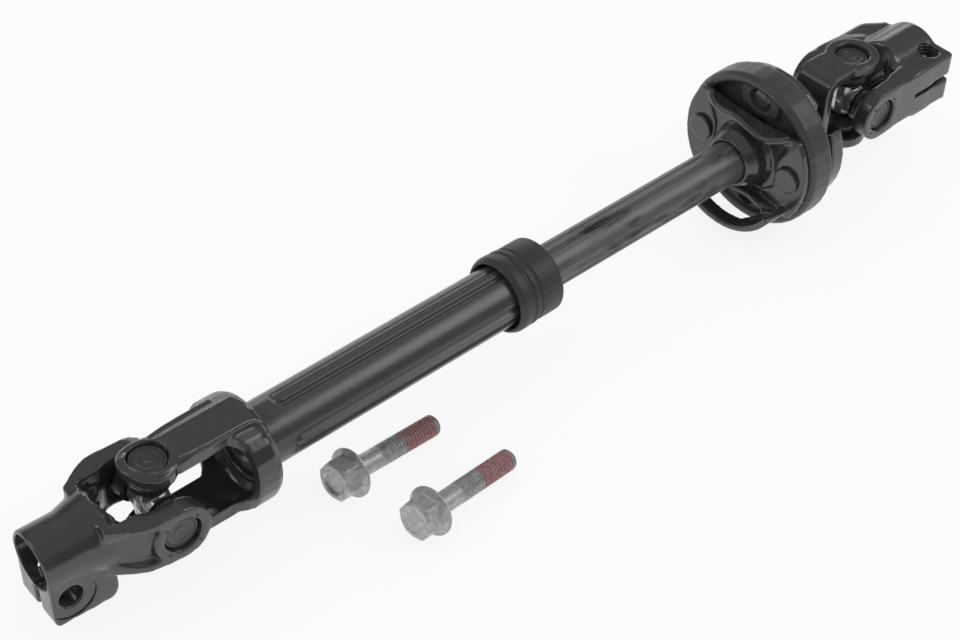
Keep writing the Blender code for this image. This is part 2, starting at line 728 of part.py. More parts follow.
def flange(name, holder, hook_reach, place=(0, 0, 0), turn=(0, 0, 0)):
    """Pressed flange: dished plate, turned-up long edges, rivet ears, drawn collar and hooked arm."""
    rig = empty(name + "_rig", place, turn, holder)
    plate = extrude(name, flange_outline(), -FLANGE_T, 0, "black_paint", rig, "YZ")
    for word, side in (("top", 1), ("bottom", -1)):
        ys = [15.5 * MM - 31 * MM * i / 6 for i in range(7)]
        outer = [(y, side * (waist(y) - 0.01 * MM)) for y in ys]
        inner = [(y, side * (waist(y) - LIP_T)) for y in reversed(ys)]
        label = f"{name}_lip_{word}"
        join(plate, extrude(label, outer + inner, -LIP_REACH, -0.5 * MM, "", rig, "YZ", cutter=True))
    half_width = BOSS_HALF + 2 * MM
    lobe = arc((0, 0), HOOK_R, 270 - 62, 270 - 24, 5) + [(-half_width, -12 * MM), (-24 * MM, -8 * MM)]
    join(plate, extrude(name + "_lobe", lobe, -FLANGE_T, -0.02 * MM, "", rig, "YZ", cutter=True))
    collar = [(-FLANGE_COLLAR_REACH, 0), (-FLANGE_COLLAR_REACH, FLANGE_COLLAR_R - 2.2 * MM)]
    collar += [(-FLANGE_COLLAR_REACH + 4.5 * MM, FLANGE_COLLAR_R), (-FLANGE_T - 1.2 * MM, FLANGE_COLLAR_R)]
    collar += [(-FLANGE_T * 0.6, FLANGE_COLLAR_R + 1.6 * MM), (-0.5 * MM, 0)]
    join(plate, revolve(name + "_collar", collar, 24, "", rig, "X", cutter=True))
    join(plate, hook(name + "_hook", rig, hook_reach))
    dish = dish_outline()
    sink = extrude(name + "_dish", dish, -FLANGE_T * 1.5, -FLANGE_T + DISH_SINK, "", rig, "YZ", cutter=True)
    keep = disc(name + "_keep", FLANGE_COLLAR_R + 1.2 * MM, -FLANGE_COLLAR_REACH, 0, 24, rig, "X")
    cut(sink, keep)
    cut(plate, sink)
    cut(plate, disc(name + "_bore", INNER_R + PRESS_GAP, -2 * FLANGE_COLLAR_REACH, 5 * MM, 24, rig, "X"))
    for word, side in (("left", 1), ("right", -1)):
        spot = (0, side * RIVET_PITCH_R, 0)
        cut(plate, disc(f"{name}_hole_{word}", RIVET_R + PRESS_GAP, -5 * MM, 5 * MM, 14, rig, "X", spot))
    return plate


def dish_outline():
    """The lower floor between the two raised ears."""
    edge = FLANGE_WAIST - LIP_T - 0.6 * MM
    pad = PAD_HALF - RIVET_PITCH_R
    right = [
        (pad - 3.9 * MM, edge), (pad, 5 * MM), (pad, -7.2 * MM), (pad + 4.6 * MM, -11 * MM),
        (pad + 5 * MM, -edge),
    ]
    left = [(-y, z) for y, z in reversed(right)]
    return right + left


def rounded_block(width, height, corner, centre):
    """Outline of a block with round corners, in Y and Z."""
    points = []
    for quarter, (sy, sz) in enumerate(((1, 1), (-1, 1), (-1, -1), (1, -1))):
        middle = (centre[0] + sy * (width - corner), centre[1] + sz * (height - corner))
        points += arc(middle, corner, 90 * quarter, 90 * quarter + 90, 2)
    return points


def coupling_ring():
    """Moulded rubber ring: deep rim, thinner web and four blocks round the rivets."""
    edge = 1.3 * MM
    rim = RING_R - RIM_WALL
    profile = [
        (0, rim), (0, RING_R - edge), (edge, RING_R), (RING_WIDTH - edge, RING_R),
        (RING_WIDTH, RING_R - edge),
    ]
    profile += [
        (RING_WIDTH, rim), (RING_WIDTH - WEB_SINK, rim - 0.8 * MM), (RING_WIDTH - WEB_SINK, RING_BORE_R),
    ]
    profile += [(WEB_SINK, RING_BORE_R), (WEB_SINK, rim - 0.8 * MM)]
    ring = revolve("coupling_ring", profile, 38, "rubber", SLIDER, "X", hollow=True)
    seat = RUN_GAP
    for word, angle, low, high in (
        ("left", 0, seat, RING_WIDTH - BOSS_SINK),
        ("top", pi / 2, BOSS_SINK, RING_WIDTH - seat),
        ("right", pi, seat, RING_WIDTH - BOSS_SINK),
        ("bottom", 3 * pi / 2, BOSS_SINK, RING_WIDTH - seat),
    ):
        outline = rounded_block(5.6 * MM, BOSS_HALF, 3.5 * MM, (RIVET_PITCH_R, 0))
        label = "coupling_block_" + word
        join(ring, extrude(label, outline, low, high, "", SLIDER, "YZ", turn=(angle, 0, 0), cutter=True))
        seat_depth = RING_WIDTH - BOSS_SINK - TAIL_SINK
        sink = TAIL_R + 0.5 * MM
        hole = RIVET_R + PRESS_GAP
        stepped = [(-5 * MM, 0), (-5 * MM, hole), (seat_depth, hole), (seat_depth, sink)]
        stepped += [(RING_WIDTH + 5 * MM, sink), (RING_WIDTH + 5 * MM, 0)]
        front = low < BOSS_SINK
        spot = (0 if front else RING_WIDTH, RIVET_PITCH_R * cos(angle), RIVET_PITCH_R * sin(angle))
        axis = "X" if front else "-X"
        cut(ring, revolve("coupling_sink_" + word, stepped, 14, "", SLIDER, axis, spot, cutter=True))
    return ring


def rivet(name, angle, front):
    """Flat-headed rivet through a flange ear and a rubber block, upset in the block's recess."""
    head = -FLANGE_T - RUN_GAP * 0.1
    seat = RING_WIDTH - BOSS_SINK - TAIL_SINK + 0.3 * MM
    profile = [(head - RIVET_HEAD_T, 0), (head - RIVET_HEAD_T, RIVET_HEAD_R - 0.35 * MM)]
    profile += [(head - RIVET_HEAD_T + 0.35 * MM, RIVET_HEAD_R), (head, RIVET_HEAD_R), (head, RIVET_R)]
    profile += [(seat, RIVET_R), (seat, TAIL_R - 0.3 * MM), (seat + TAIL_T, TAIL_R * 0.7), (seat + TAIL_T, 0)]
    y = RIVET_PITCH_R * cos(angle)
    z = RIVET_PITCH_R * sin(angle)
    if front:
        return revolve(name, profile, 12, "black_paint", SLIDER, "X", (0, y, z))
    return revolve(name, profile, 12, "black_paint", SLIDER, "-X", (RING_WIDTH, y, z))


def upper_flange_yoke():
    """Strap bent to a U: a web on the stub shaft and two ears for the upper cross."""
    web = -STRAP_WEB
    outer = EAR_FACE
    inner = EAR_FACE - STRAP_T
    tip = 1.4 * STRAP_EAR_R
    small = STRAP_BEND - STRAP_T
    half = [(tip, inner), (tip, outer)] + arc((web + STRAP_BEND, outer - STRAP_BEND), STRAP_BEND, 90, 180, 5)
    back = arc((web + STRAP_BEND, outer - STRAP_BEND), small, 180, 90, 3)
    profile = half + [(u, -v) for u, v in reversed(half)] + [(u, -v) for u, v in reversed(back)] + back
    wide = 1.2 * STRAP_EAR_R
    yoke = extrude("upper_flange_yoke", profile, -wide, wide, "black_paint", UPPER, "XZ")
    half = arc((0, 0), STRAP_EAR_R, 0, 133, 9)
    half += [(-STRAP_EAR_R * 1.05, STRAP_HALF), (2 * web, STRAP_HALF)]
    tall = 2 * outer
    common(yoke, extrude("upper_flange_yoke_plan", mirrored(half), -tall, tall, "", UPPER, "XY", cutter=True))
    bore_ears(yoke, UPPER, "Z")
    cut(yoke, disc("upper_flange_yoke_bore", SPIGOT_R + PRESS_GAP, 2 * web, web / 2, 20, UPPER, "X"))
    return yoke


def stub_shaft():
    """Short shaft between the upper flange and its yoke, with a spigot upset inside the yoke's web."""
    start = RING_WIDTH + 0.6 * MM
    web = UPPER_JOINT - STRAP_WEB
    inside = web + STRAP_T + 0.3 * MM
    head = SPIGOT_R + 1.1 * MM
    profile = [(start, 0), (start, STUB_R - 0.6 * MM), (start + 0.6 * MM, STUB_R), (web - 0.3 * MM, STUB_R)]
    profile += [
        (web - 0.3 * MM, SPIGOT_R), (inside, SPIGOT_R), (inside, head),
        (inside + 1.2 * MM, head - 0.7 * MM),
    ]
    profile.append((inside + 1.2 * MM, 0))
    return revolve("upper_stub_shaft", profile, 16, "shaft_steel", SLIDER, "X")


# Pinch bolts

def pinch_bolt(name, seat_x, seat_y, turn, dimple):
    """Flange bolt lying on the ground on the rims of its flange and tip."""
    tilt = atan2(BOLT_FLANGE_R - THREAD_R, BOLT_LENGTH - THREAD_CHAMFER)
    holder = empty(name + "_place", (SHIFT_X + seat_x, SHIFT_Y + seat_y, bolt_height(tilt)), (0, tilt, turn))
    sides = 18
    data = bmesh.new()
    rings = []

    def add(radii, heights):
        points = []
        for i, (radius, height) in enumerate(zip(radii, heights)):
            angle = 2 * pi * i / sides
            points.append((height, radius * cos(angle), radius * sin(angle)))
        rings.append(ring_of(data, points))

    def circle(height, radius):
        add([radius] * sides, [height] * sides)

    face = -BOLT_HEAD
    flat = BOLT_HEX_R * cos(pi / 6)
    hexagon = [flat / cos((2 * pi * i / sides) % (pi / 3) - pi / 6) for i in range(sides)]
    edge = flat * 0.93
    if dimple:
        rings.append(ring_of(data, [(face + 0.9 * MM, 0, 0)]))
        circle(face + 0.9 * MM, BOLT_DIMPLE_R - 0.5 * MM)
        circle(face, BOLT_DIMPLE_R)
    else:
        rings.append(ring_of(data, [(face, 0, 0)]))
    circle(face, edge)
    add(hexagon, [face + (radius - edge) * 0.6 for radius in hexagon])
    slope = 1.2 * MM / (BOLT_FLANGE_R - flat)
    add(hexagon, [-1.0 * MM - (BOLT_FLANGE_R - radius) * slope for radius in hexagon])
    circle(-0.9 * MM, BOLT_FLANGE_R)
    circle(0, BOLT_FLANGE_R)
    circle(0, BOLT_R)
    circle(BOLT_SHANK, BOLT_R)
    circle(BOLT_SHANK + 0.4 * MM, THREAD_R)
    circle(BOLT_LENGTH - THREAD_CHAMFER, THREAD_R)
    circle(BOLT_LENGTH, THREAD_R - 1.1 * MM)
    rings.append(ring_of(data, [(BOLT_LENGTH, 0, 0)]))
    for first, second in zip(rings, rings[1:]):
        skin(data, first, second)
    return smooth(finish(data, name, "zinc", holder), 25)


def bolt_height(tilt):
    """Height of the bolt's seat centre when its flange rim touches the ground."""
    return BOLT_FLANGE_R * cos(tilt)


# Assembly

def build():
    joint_internals("lower", LOWER, LOWER_CROSS, LOWER_CLAMP, "Y", "-Y")
    joint_internals("upper", UPPER, UPPER_CROSS, UPPER_CLAMP, "-Y", "Y")
    clamp_yoke("lower_clamp_yoke", LOWER_CLAMP, LOWER_REACH, BLOCK_DROP, 0, "Y")
    clamp_yoke("upper_clamp_yoke", UPPER_CLAMP, UPPER_REACH, UPPER_BLOCK_DROP, -pi / 2, "-Z")
    tube_yoke()
    outer_tube()
    tube_collar()
    inner_shaft()
    flange("lower_flange", SLIDER, LOWER_HOOK_REACH)
    half_turn = diagonal_half_turn()
    flange("upper_flange", SLIDER, UPPER_HOOK_REACH, (RING_WIDTH, 0, 0), half_turn)
    coupling_ring()
    rivets = (("left", 0, True), ("top", pi / 2, False), ("right", pi, True), ("bottom", -pi / 2, False))
    for word, angle, front in rivets:
        rivet("rivet_" + word, angle, front)
    upper_flange_yoke()
    stub_shaft()
    for number, (x, y, turn) in enumerate(BOLT_SEATS):
        pinch_bolt(("pinch_bolt_left", "pinch_bolt_right")[number], x, y, turn, number == 0)


def diagonal_half_turn():
    """Half a turn about the line midway between Y and Z, which swaps them and reverses X."""
    return (pi / 2, 0, pi)


build()
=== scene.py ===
import json
from math import atan2, cos, pi, radians, sin

import bmesh
import bpy
from mathutils import Euler, Matrix, Vector

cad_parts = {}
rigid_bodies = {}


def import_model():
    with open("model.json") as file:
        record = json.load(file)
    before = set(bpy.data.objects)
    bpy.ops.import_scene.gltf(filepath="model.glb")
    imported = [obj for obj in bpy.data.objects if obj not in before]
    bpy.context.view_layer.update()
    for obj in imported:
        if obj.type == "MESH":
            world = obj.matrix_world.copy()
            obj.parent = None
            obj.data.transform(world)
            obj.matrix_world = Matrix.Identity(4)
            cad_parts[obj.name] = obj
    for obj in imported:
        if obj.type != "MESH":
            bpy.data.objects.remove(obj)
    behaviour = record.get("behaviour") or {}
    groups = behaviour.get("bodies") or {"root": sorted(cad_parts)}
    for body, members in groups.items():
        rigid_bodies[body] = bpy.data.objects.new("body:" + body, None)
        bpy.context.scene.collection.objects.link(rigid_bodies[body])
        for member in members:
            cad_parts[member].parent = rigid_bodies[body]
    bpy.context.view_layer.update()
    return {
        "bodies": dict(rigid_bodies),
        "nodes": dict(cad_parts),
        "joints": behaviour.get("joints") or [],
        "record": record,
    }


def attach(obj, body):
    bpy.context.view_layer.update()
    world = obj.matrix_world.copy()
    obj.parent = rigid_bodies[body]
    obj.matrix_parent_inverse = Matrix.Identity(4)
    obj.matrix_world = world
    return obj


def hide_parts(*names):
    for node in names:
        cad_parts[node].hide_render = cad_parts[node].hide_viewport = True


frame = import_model()
nodes = frame["nodes"]

# Places along the shaft, in metres, as the CAD source has them. Stations count from the coupling's front.
MM = 0.001
joint_place = {joint["name"]: joint.get("pos_m") for joint in frame["joints"]}
LOWER_JOINT = Vector(joint_place["lower_cross_swing"])
UPPER_JOINT = Vector(joint_place["upper_cross_swing"])
SHIFT = UPPER_JOINT - Vector((55.4, 0, 0)) * MM
RING_WIDTH = 11.7 * MM
TUBE_START = -241.0 * MM
EAR_FACE = 19.2 * MM
TUBE_END = -113.0 * MM
INNER_START = -172.0 * MM
LOWER_YAW = radians(-4.4)
LOWER_PITCH = radians(2.3)

# The CAD's own holders: the shaft's axis, both joints' crosses and both clamp yokes
SHAFT = Matrix.Translation(SHIFT)
LOWER_YOKE = Matrix.Translation(LOWER_JOINT)
LOWER_CROSS = LOWER_YOKE @ Matrix.Rotation(LOWER_YAW, 4, "Z")
LOWER_CLAMP = LOWER_CROSS @ Euler((0, LOWER_PITCH, pi)).to_matrix().to_4x4()
UPPER = Matrix.Translation(UPPER_JOINT)


# Small makers of shader nodes.
def new_tree_node(tree, kind, **settings):
    node = tree.nodes.new(kind)
    for key, value in settings.items():
        setattr(node, key, value)
    return node


def feed(tree, source, target):
    tree.links.new(source, target)


def shader_math(tree, operation, first, second=None, clamp=False):
    node = new_tree_node(tree, "ShaderNodeMath", operation=operation, use_clamp=clamp)
    for socket, value in zip(node.inputs, (first, second)):
        if value is None:
            continue
        if isinstance(value, (int, float)):
            socket.default_value = value
        else:
            feed(tree, value, socket)
    return node.outputs[0]


def ramp(tree, value, low, high, from_value=0.0, to_value=1.0):
    node = new_tree_node(tree, "ShaderNodeMapRange", interpolation_type="SMOOTHSTEP")
    feed(tree, value, node.inputs["Value"])
    for key, number in (("From Min", low), ("From Max", high), ("To Min", from_value), ("To Max", to_value)):
        if isinstance(number, (int, float)):
            node.inputs[key].default_value = number
        else:
            feed(tree, number, node.inputs[key])
    return node.outputs["Result"]


def noise(tree, place, scale, detail=3.0, rough=0.5, stretch=None):
    if stretch:
        mapping = new_tree_node(tree, "ShaderNodeMapping")
        mapping.inputs["Scale"].default_value = stretch
        feed(tree, place, mapping.inputs["Vector"])
        place = mapping.outputs["Vector"]
    node = new_tree_node(tree, "ShaderNodeTexNoise")
    feed(tree, place, node.inputs["Vector"])
    node.inputs["Detail"].default_value = detail
    node.inputs["Roughness"].default_value = rough
    if isinstance(scale, (int, float)):
        node.inputs["Scale"].default_value = scale
    else:
        feed(tree, scale, node.inputs["Scale"])
    return node.outputs["Fac"]


def effect_group(name, inputs, outputs):
    tree = bpy.data.node_groups.new(name, "ShaderNodeTree")
    for label, kind, value in inputs:
        socket = tree.interface.new_socket(label, in_out="INPUT", socket_type=kind)
        if value is not None:
            socket.default_value = value
    for label, kind in outputs:
        tree.interface.new_socket(label, in_out="OUTPUT", socket_type=kind)
    inward = tree.nodes.new("NodeGroupInput")
    outward = tree.nodes.new("NodeGroupOutput")
    return tree, inward.outputs, outward.inputs


FLOAT = "NodeSocketFloat"
VECTOR = "NodeSocketVector"


def paint_skin_group():
    """The slow waves and pinholes of a thick dipped paint, with its change of gloss."""
    tree, given, result = effect_group(
        "paint skin",
        [
            ("Place", VECTOR, None), ("Wave Size", FLOAT, 420.0), ("Grain Size", FLOAT, 2600.0),
            ("Gloss", FLOAT, 0.2), ("Gloss Change", FLOAT, 0.1),
        ],
        [("Height", FLOAT), ("Roughness", FLOAT)],
    )
    wave = noise(tree, given["Place"], given["Wave Size"], 2.0, 0.45)
    grain = noise(tree, given["Place"], given["Grain Size"], 2.0, 0.6)
    slow = shader_math(tree, "MULTIPLY", wave, 0.75)
    height = shader_math(tree, "ADD", slow, shader_math(tree, "MULTIPLY", grain, 0.25))
    feed(tree, height, result["Height"])
    cloud = noise(tree, given["Place"], 90.0, 4.0, 0.6)
    change = shader_math(tree, "MULTIPLY", shader_math(tree, "SUBTRACT", cloud, 0.5), given["Gloss Change"])
    fine = shader_math(tree, "MULTIPLY", shader_math(tree, "SUBTRACT", grain, 0.5), given["Gloss Change"])
    total = shader_math(tree, "ADD", given["Gloss"], shader_math(tree, "ADD", change, fine), clamp=True)
    feed(tree, total, result["Roughness"])
    return tree


def worn_edge_group():
    """Where a sharp edge has lost some of its coat, from how bent the surface is."""
    tree, given, result = effect_group(
        "worn edges",
        [("Place", VECTOR, None), ("Start", FLOAT, 0.53), ("Full", FLOAT, 0.6), ("Patch Size", FLOAT, 300.0)],
        [("Mask", FLOAT)],
    )
    shape = new_tree_node(tree, "ShaderNodeNewGeometry")
    bend = ramp(tree, shape.outputs["Pointiness"], given["Start"], given["Full"])
    patch = ramp(tree, noise(tree, given["Place"], given["Patch Size"], 4.0, 0.65), 0.4, 0.62)
    feed(tree, shader_math(tree, "MULTIPLY", bend, patch), result["Mask"])
    return tree


def dust_group():
    """Pale specks and faint smears of handling dust."""
    tree, given, result = effect_group(
        "dust and smears",
        [
            ("Place", VECTOR, None), ("Speck Size", FLOAT, 1500.0), ("Smear Size", FLOAT, 60.0),
            ("Amount", FLOAT, 0.5),
        ],
        [("Mask", FLOAT)],
    )
    specks = new_tree_node(tree, "ShaderNodeTexVoronoi")
    feed(tree, given["Place"], specks.inputs["Vector"])
    feed(tree, given["Speck Size"], specks.inputs["Scale"])
    point = ramp(tree, specks.outputs["Distance"], 0.1, 0.2, 1.0, 0.0)
    keep = ramp(tree, noise(tree, given["Place"], 240.0, 2.0), 0.58, 0.7)
    smear = ramp(tree, noise(tree, given["Place"], given["Smear Size"], 5.0, 0.7), 0.5, 0.75, 0.0, 0.45)
    both = shader_math(tree, "MAXIMUM", shader_math(tree, "MULTIPLY", point, keep), smear)
    feed(tree, shader_math(tree, "MULTIPLY", both, given["Amount"], clamp=True), result["Mask"])
    return tree


def draw_lines_group():
    """Fine lines that run along the shaft, as drawing and sliding leave them."""
    tree, given, result = effect_group(
        "lines along the shaft",
        [("Place", VECTOR, None), ("Fineness", FLOAT, 900.0), ("Stain Size", FLOAT, 70.0)],
        [("Lines", FLOAT), ("Stains", FLOAT)],
    )
    feed(tree, noise(tree, given["Place"], given["Fineness"], 4.0, 0.7, (0.03, 1.0, 1.0)), result["Lines"])
    stains = noise(tree, given["Place"], given["Stain Size"], 5.0, 0.65, (0.35, 1.0, 1.0))
    feed(tree, ramp(tree, stains, 0.5, 0.68), result["Stains"])
    return tree


PAINT_SKIN = paint_skin_group()
WORN_EDGES = worn_edge_group()
DUST = dust_group()
DRAW_LINES = draw_lines_group()


def use_group(tree, group, place, **values):
    node = new_tree_node(tree, "ShaderNodeGroup")
    node.node_tree = group
    feed(tree, place, node.inputs["Place"])
    for key, value in values.items():
        node.inputs[key.replace("_", " ")].default_value = value
    return node.outputs


def blend_color(tree, mask, first, second):
    node = new_tree_node(tree, "ShaderNodeMix", data_type="RGBA")
    feed(tree, mask, node.inputs[0])
    for socket, value in ((node.inputs[6], first), (node.inputs[7], second)):
        if isinstance(value, tuple):
            socket.default_value = (*value, 1.0)
        else:
            feed(tree, value, socket)
    return node.outputs[2]


def blend_number(tree, mask, first, second):
    node = new_tree_node(tree, "ShaderNodeMix", data_type="FLOAT")
    feed(tree, mask, node.inputs[0])
    for socket, value in ((node.inputs[2], first), (node.inputs[3], second)):
        if isinstance(value, (int, float)):
            socket.default_value = value
        else:
            feed(tree, value, socket)
    return node.outputs[0]


def new_finish(name, **plain):
    """A material with a Principled shader whose even values are set on its own sockets."""
    finish = bpy.data.materials.new(name)
    finish.use_nodes = True
    tree = finish.node_tree
    shader = tree.nodes["Principled BSDF"]
    for key, value in plain.items():
        shader.inputs[key.replace("_", " ")].default_value = value
    place = new_tree_node(tree, "ShaderNodeTexCoord").outputs["Object"]
    return finish, tree, shader, place


def set_bump(tree, shader, height, strength, depth):
    bump = new_tree_node(tree, "ShaderNodeBump")
    bump.inputs["Strength"].default_value = strength
    bump.inputs["Distance"].default_value = depth
    feed(tree, height, bump.inputs["Height"])
    feed(tree, bump.outputs["Normal"], shader.inputs["Normal"])


def black_paint(name="gloss black paint", gloss=0.19, tone=0.03):
    finish, tree, shader, place = new_finish(name, Specular_IOR_Level=0.85)
    skin = use_group(tree, PAINT_SKIN, place, Gloss=gloss, Gloss_Change=0.16)
    worn = use_group(tree, WORN_EDGES, place, Start=0.54, Full=0.63)["Mask"]
    dust = use_group(tree, DUST, place, Amount=0.4)["Mask"]
    color = blend_color(tree, dust, (tone, tone, tone * 1.08), (0.09, 0.09, 0.095))
    color = blend_color(tree, worn, color, (0.11, 0.11, 0.115))
    feed(tree, color, shader.inputs["Base Color"])
    rough = blend_number(tree, dust, skin["Roughness"], 0.5)
    feed(tree, blend_number(tree, worn, rough, 0.42), shader.inputs["Roughness"])
    set_bump(tree, shader, skin["Height"], 0.5, 0.00012)
    return finish


def tube_paint():
    finish, tree, shader, place = new_finish("satin black tube paint", Specular_IOR_Level=0.7)
    skin = use_group(tree, PAINT_SKIN, place, Wave_Size=300.0, Gloss=0.24, Gloss_Change=0.14)
    lines = use_group(tree, DRAW_LINES, place, Fineness=700.0)
    worn = use_group(tree, WORN_EDGES, place, Start=0.56, Full=0.66)["Mask"]
    dust = use_group(tree, DUST, place, Amount=0.22)["Mask"]
    color = blend_color(tree, lines["Lines"], (0.026, 0.026, 0.027), (0.055, 0.055, 0.057))
    color = blend_color(tree, dust, color, (0.08, 0.08, 0.085))
    feed(tree, blend_color(tree, worn, color, (0.13, 0.13, 0.135)), shader.inputs["Base Color"])
    rough = shader_math(tree, "ADD", skin["Roughness"], shader_math(tree, "MULTIPLY", lines["Lines"], 0.06))
    feed(tree, rough, shader.inputs["Roughness"])
    set_bump(tree, shader, skin["Height"], 0.35, 0.0001)
    return finish


def collar_plastic():
    finish, tree, shader, place = new_finish("dark grey collar plastic", Specular_IOR_Level=0.45)
    skin = use_group(
        tree, PAINT_SKIN, place, Wave_Size=900.0, Grain_Size=4200.0, Gloss=0.46, Gloss_Change=0.12
    )
    worn = use_group(tree, WORN_EDGES, place, Start=0.53, Full=0.62)["Mask"]
    dust = use_group(tree, DUST, place, Amount=0.25)["Mask"]
    color = blend_color(tree, dust, (0.03, 0.03, 0.032), (0.1, 0.1, 0.105))
    feed(tree, blend_color(tree, worn, color, (0.12, 0.12, 0.125)), shader.inputs["Base Color"])
    feed(tree, skin["Roughness"], shader.inputs["Roughness"])
    set_bump(tree, shader, skin["Height"], 0.5, 0.00006)
    return finish


def shaft_steel():
    finish, tree, shader, place = new_finish("graphite shaft steel", Specular_IOR_Level=0.5)
    lines = use_group(tree, DRAW_LINES, place, Fineness=1100.0, Stain_Size=80.0)
    dust = use_group(tree, DUST, place, Amount=0.3)["Mask"]
    color = blend_color(tree, lines["Lines"], (0.055, 0.055, 0.055), (0.19, 0.19, 0.188))
    color = blend_color(tree, lines["Stains"], color, (0.035, 0.034, 0.033))
    feed(tree, blend_color(tree, dust, color, (0.2, 0.2, 0.2)), shader.inputs["Base Color"])
    feed(tree, blend_number(tree, lines["Stains"], 0.55, 0.75), shader.inputs["Metallic"])
    rough = shader_math(tree, "ADD", shader_math(tree, "MULTIPLY", lines["Lines"], 0.2), 0.3)
    feed(tree, rough, shader.inputs["Roughness"])
    set_bump(tree, shader, lines["Lines"], 0.4, 0.00008)
    return finish


def ring_rubber():
    finish, tree, shader, place = new_finish("coupling rubber", Specular_IOR_Level=0.45)
    skin = use_group(
        tree, PAINT_SKIN, place, Wave_Size=260.0, Grain_Size=2200.0, Gloss=0.36, Gloss_Change=0.25
    )
    worn = use_group(tree, WORN_EDGES, place, Start=0.53, Full=0.62)["Mask"]
    dust = use_group(tree, DUST, place, Smear_Size=110.0, Amount=0.5)["Mask"]
    color = blend_color(tree, dust, (0.042, 0.042, 0.0425), (0.12, 0.12, 0.122))
    feed(tree, blend_color(tree, worn, color, (0.06, 0.06, 0.062)), shader.inputs["Base Color"])
    feed(tree, blend_number(tree, dust, skin["Roughness"], 0.55), shader.inputs["Roughness"])
    set_bump(tree, shader, skin["Height"], 0.6, 0.00015)
    return finish


def seal_rubber():
    finish, tree, shader, place = new_finish("ridged seal", Specular_IOR_Level=0.5)
    skin = use_group(tree, PAINT_SKIN, place, Wave_Size=900.0, Gloss=0.34, Gloss_Change=0.2)
    worn = use_group(tree, WORN_EDGES, place, Start=0.5, Full=0.58, Patch_Size=900.0)["Mask"]
    feed(tree, blend_color(tree, worn, (0.03, 0.03, 0.03), (0.4, 0.4, 0.4)), shader.inputs["Base Color"])
    feed(tree, blend_number(tree, worn, 0.0, 0.8), shader.inputs["Metallic"])
    feed(tree, skin["Roughness"], shader.inputs["Roughness"])
    set_bump(tree, shader, skin["Height"], 0.4, 0.00005)
    return finish


def cup_steel():
    finish, tree, shader, place = new_finish("black bearing cup", Specular_IOR_Level=0.6)
    skin = use_group(tree, PAINT_SKIN, place, Wave_Size=700.0, Gloss=0.26, Gloss_Change=0.2)
    worn = use_group(tree, WORN_EDGES, place, Start=0.52, Full=0.6)["Mask"]
    dust = use_group(tree, DUST, place, Amount=0.4)["Mask"]
    color = blend_color(tree, dust, (0.03, 0.03, 0.031), (0.12, 0.12, 0.12))
    feed(tree, blend_color(tree, worn, color, (0.1, 0.1, 0.1)), shader.inputs["Base Color"])
    feed(tree, skin["Roughness"], shader.inputs["Roughness"])
    set_bump(tree, shader, skin["Height"], 0.4, 0.00008)
    return finish


def bare_steel(name="bare ground steel", tone=0.5):
    finish, tree, shader, place = new_finish(name)
    skin = use_group(tree, PAINT_SKIN, place, Wave_Size=1200.0, Gloss=0.3, Gloss_Change=0.25)
    dust = use_group(tree, DUST, place, Amount=0.4)["Mask"]
    color = blend_color(tree, dust, (tone, tone, tone * 0.97), (tone * 0.45,) * 3)
    feed(tree, color, shader.inputs["Base Color"])
    feed(tree, blend_number(tree, dust, 0.9, 0.6), shader.inputs["Metallic"])
    feed(tree, skin["Roughness"], shader.inputs["Roughness"])
    set_bump(tree, shader, skin["Height"], 0.3, 0.00004)
    return finish


def zinc_flake():
    """Grey zinc flake with painted shade in the thread's grooves, and a dull red locking patch on its far
    half.
    """
    finish, tree, shader, place = new_finish("zinc flake with thread lock")
    skin = use_group(
        tree, PAINT_SKIN, place, Wave_Size=1500.0, Grain_Size=5200.0, Gloss=0.42, Gloss_Change=0.2
    )
    worn = use_group(tree, WORN_EDGES, place, Start=0.52, Full=0.6)["Mask"]
    cloud = noise(tree, place, 500.0, 5.0, 0.7)
    color = blend_color(tree, ramp(tree, cloud, 0.35, 0.68), (0.34, 0.343, 0.346), (0.52, 0.523, 0.526))
    color = blend_color(tree, worn, color, (0.6, 0.6, 0.6))
    shape = new_tree_node(tree, "ShaderNodeNewGeometry")
    # Painted shade: the thread's hollows, found where the pointiness is low, are darkened towards near black.
    groove = ramp(tree, shape.outputs["Pointiness"], 0.42, 0.495, 0.6, 0.0)
    color = blend_color(tree, groove, color, (0.05, 0.05, 0.05))
    reach = new_tree_node(tree, "ShaderNodeAttribute", attribute_name="reach").outputs["Fac"]
    edge = shader_math(tree, "MULTIPLY", noise(tree, place, 420.0, 4.0, 0.7), 0.004)
    place_on = shader_math(tree, "ADD", reach, edge)
    begun = ramp(tree, place_on, 0.0235, 0.0258)
    patch = shader_math(tree, "MULTIPLY", begun, ramp(tree, place_on, 0.0392, 0.0402, 1.0, 0.0))
    thin = ramp(tree, noise(tree, place, 1500.0, 4.0, 0.7), 0.36, 0.6, 0.15, 0.8)
    patch = shader_math(tree, "MULTIPLY", patch, thin)
    color = blend_color(tree, patch, color, (0.36, 0.06, 0.065))
    feed(tree, color, shader.inputs["Base Color"])
    feed(tree, blend_number(tree, patch, 0.55, 0.0), shader.inputs["Metallic"])
    feed(tree, blend_number(tree, patch, skin["Roughness"], 0.6), shader.inputs["Roughness"])
    set_bump(tree, shader, skin["Height"], 0.5, 0.00006)
    return finish


FINISHES = {
    "black_paint": black_paint(),
    "tube_paint": tube_paint(),
    "grey_plastic": collar_plastic(),
    "shaft_steel": shaft_steel(),
    "rubber": ring_rubber(),
    "seal_rubber": seal_rubber(),
    "cup_steel": cup_steel(),
    "bare_steel": bare_steel(),
    "needle_steel": bare_steel("polished needle steel", 0.6),
    "zinc": zinc_flake(),
}
SLOT_OF = {entry["node"]: entry["material_slot"] for entry in frame["record"]["subparts"]}
BODY_OF = {node: body for body, members in frame["record"]["behaviour"]["bodies"].items() for node in members}


